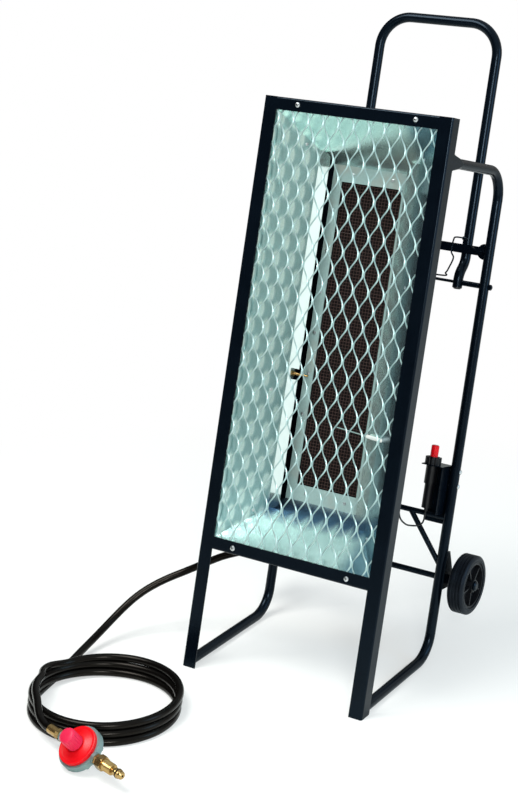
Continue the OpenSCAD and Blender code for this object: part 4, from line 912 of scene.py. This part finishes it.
def studio_sky():
    """White behind the object. What lights it is brighter above and to the right than to the left,
    and shiny pieces see it darker."""
    world = bpy.data.worlds.new("studio")
    world.use_nodes = True
    bpy.context.scene.world = world
    sky = Nodes(world.node_tree)
    for old in list(sky.tree.nodes):
        sky.tree.nodes.remove(old)
    way = sky.node("ShaderNodeTexCoord", {}).outputs["Generated"]
    open_side = sky.dot(way, unit([0.72, 0.12, 0.68])).between(-0.15, 0.75)
    above = sky.dot(way, (0.0, 0.0, 1.0)).between(0.1, 0.7)
    tint = sky.mix(above, (1.0, 0.99, 0.93), (0.84, 0.95, 1.0))
    lit = sky.node("ShaderNodeBackground", {}, tint, 0.04 + 0.82 * open_side)
    white = sky.node("ShaderNodeBackground", {}, (1, 1, 1), 1.0)
    both = sky.node("ShaderNodeMixShader", {}, sky.seen(), lit.outputs[0], white.outputs[0])
    sky.node("ShaderNodeOutputWorld", {}, both.outputs[0])


studio_sky()


def floor_plane():
    """A wide plain floor under the rails, near white and dull. What the camera sees of it goes over
    to plain white away from the object, so that it has no edge, and keeps the object's soft shadow."""
    f = Finish("floor", roughness=0.9, specular_ior_level=0.1)
    soft = f.noise(1.5, 1)
    f.set("Base Color", f.mix(soft, (0.88, 0.88, 0.83), (0.91, 0.91, 0.86)))
    away = f.out("ShaderNodeVectorMath", dict(operation="LENGTH"), f.place(), output="Value")
    plain = f.seen() * (0.45 + 0.55 * away.between(0.6, 1.4))
    white = f.node("ShaderNodeEmission", {}, (1, 1, 1), 1.0)
    both = f.node("ShaderNodeMixShader", {}, plain, f.shader.outputs[0], white.outputs[0])
    f.plug(f.tree.nodes["Material Output"].inputs[0], both.outputs[0])
    mesh = bpy.data.meshes.new("floor")
    reach = 30  # metres from the object
    mesh.from_pydata([(x * reach, y * reach, 0) for x, y in CORNERS.tolist()], [], [(0, 1, 2, 3)])
    mesh.materials.append(f.material)
    floor = bpy.data.objects.new("floor", mesh)
    bpy.context.scene.collection.objects.link(floor)


floor_plane()


def softbox(name, place, aim, size, watts, colour=(1, 1, 1)):
    """A rectangular lamp that looks at a point."""
    lamp = bpy.data.lights.new(name, "AREA")
    lamp.shape, lamp.size, lamp.size_y = "RECTANGLE", size[0], size[1]
    lamp.energy, lamp.color = watts, colour
    made = bpy.data.objects.new(name, lamp)
    bpy.context.scene.collection.objects.link(made)
    made.location = place
    made.rotation_euler = (Vector(aim) - Vector(place)).to_track_quat("-Z", "Y").to_euler()


softbox("key", (-1.1, -1.5, 3.6), (0, 0, 0.5), (1.8, 1.8), 120)
softbox("front", (1.9, -3.0, 1.9), (0, 0, 0.6), (0.9, 0.9), 60, (0.95, 0.98, 1.0))
softbox("side", (3.0, 0.4, 1.4), (0, 0, 0.6), (1.2, 2.0), 30, (0.35, 0.66, 1.0))

bpy.context.scene.view_settings.view_transform = "Standard"
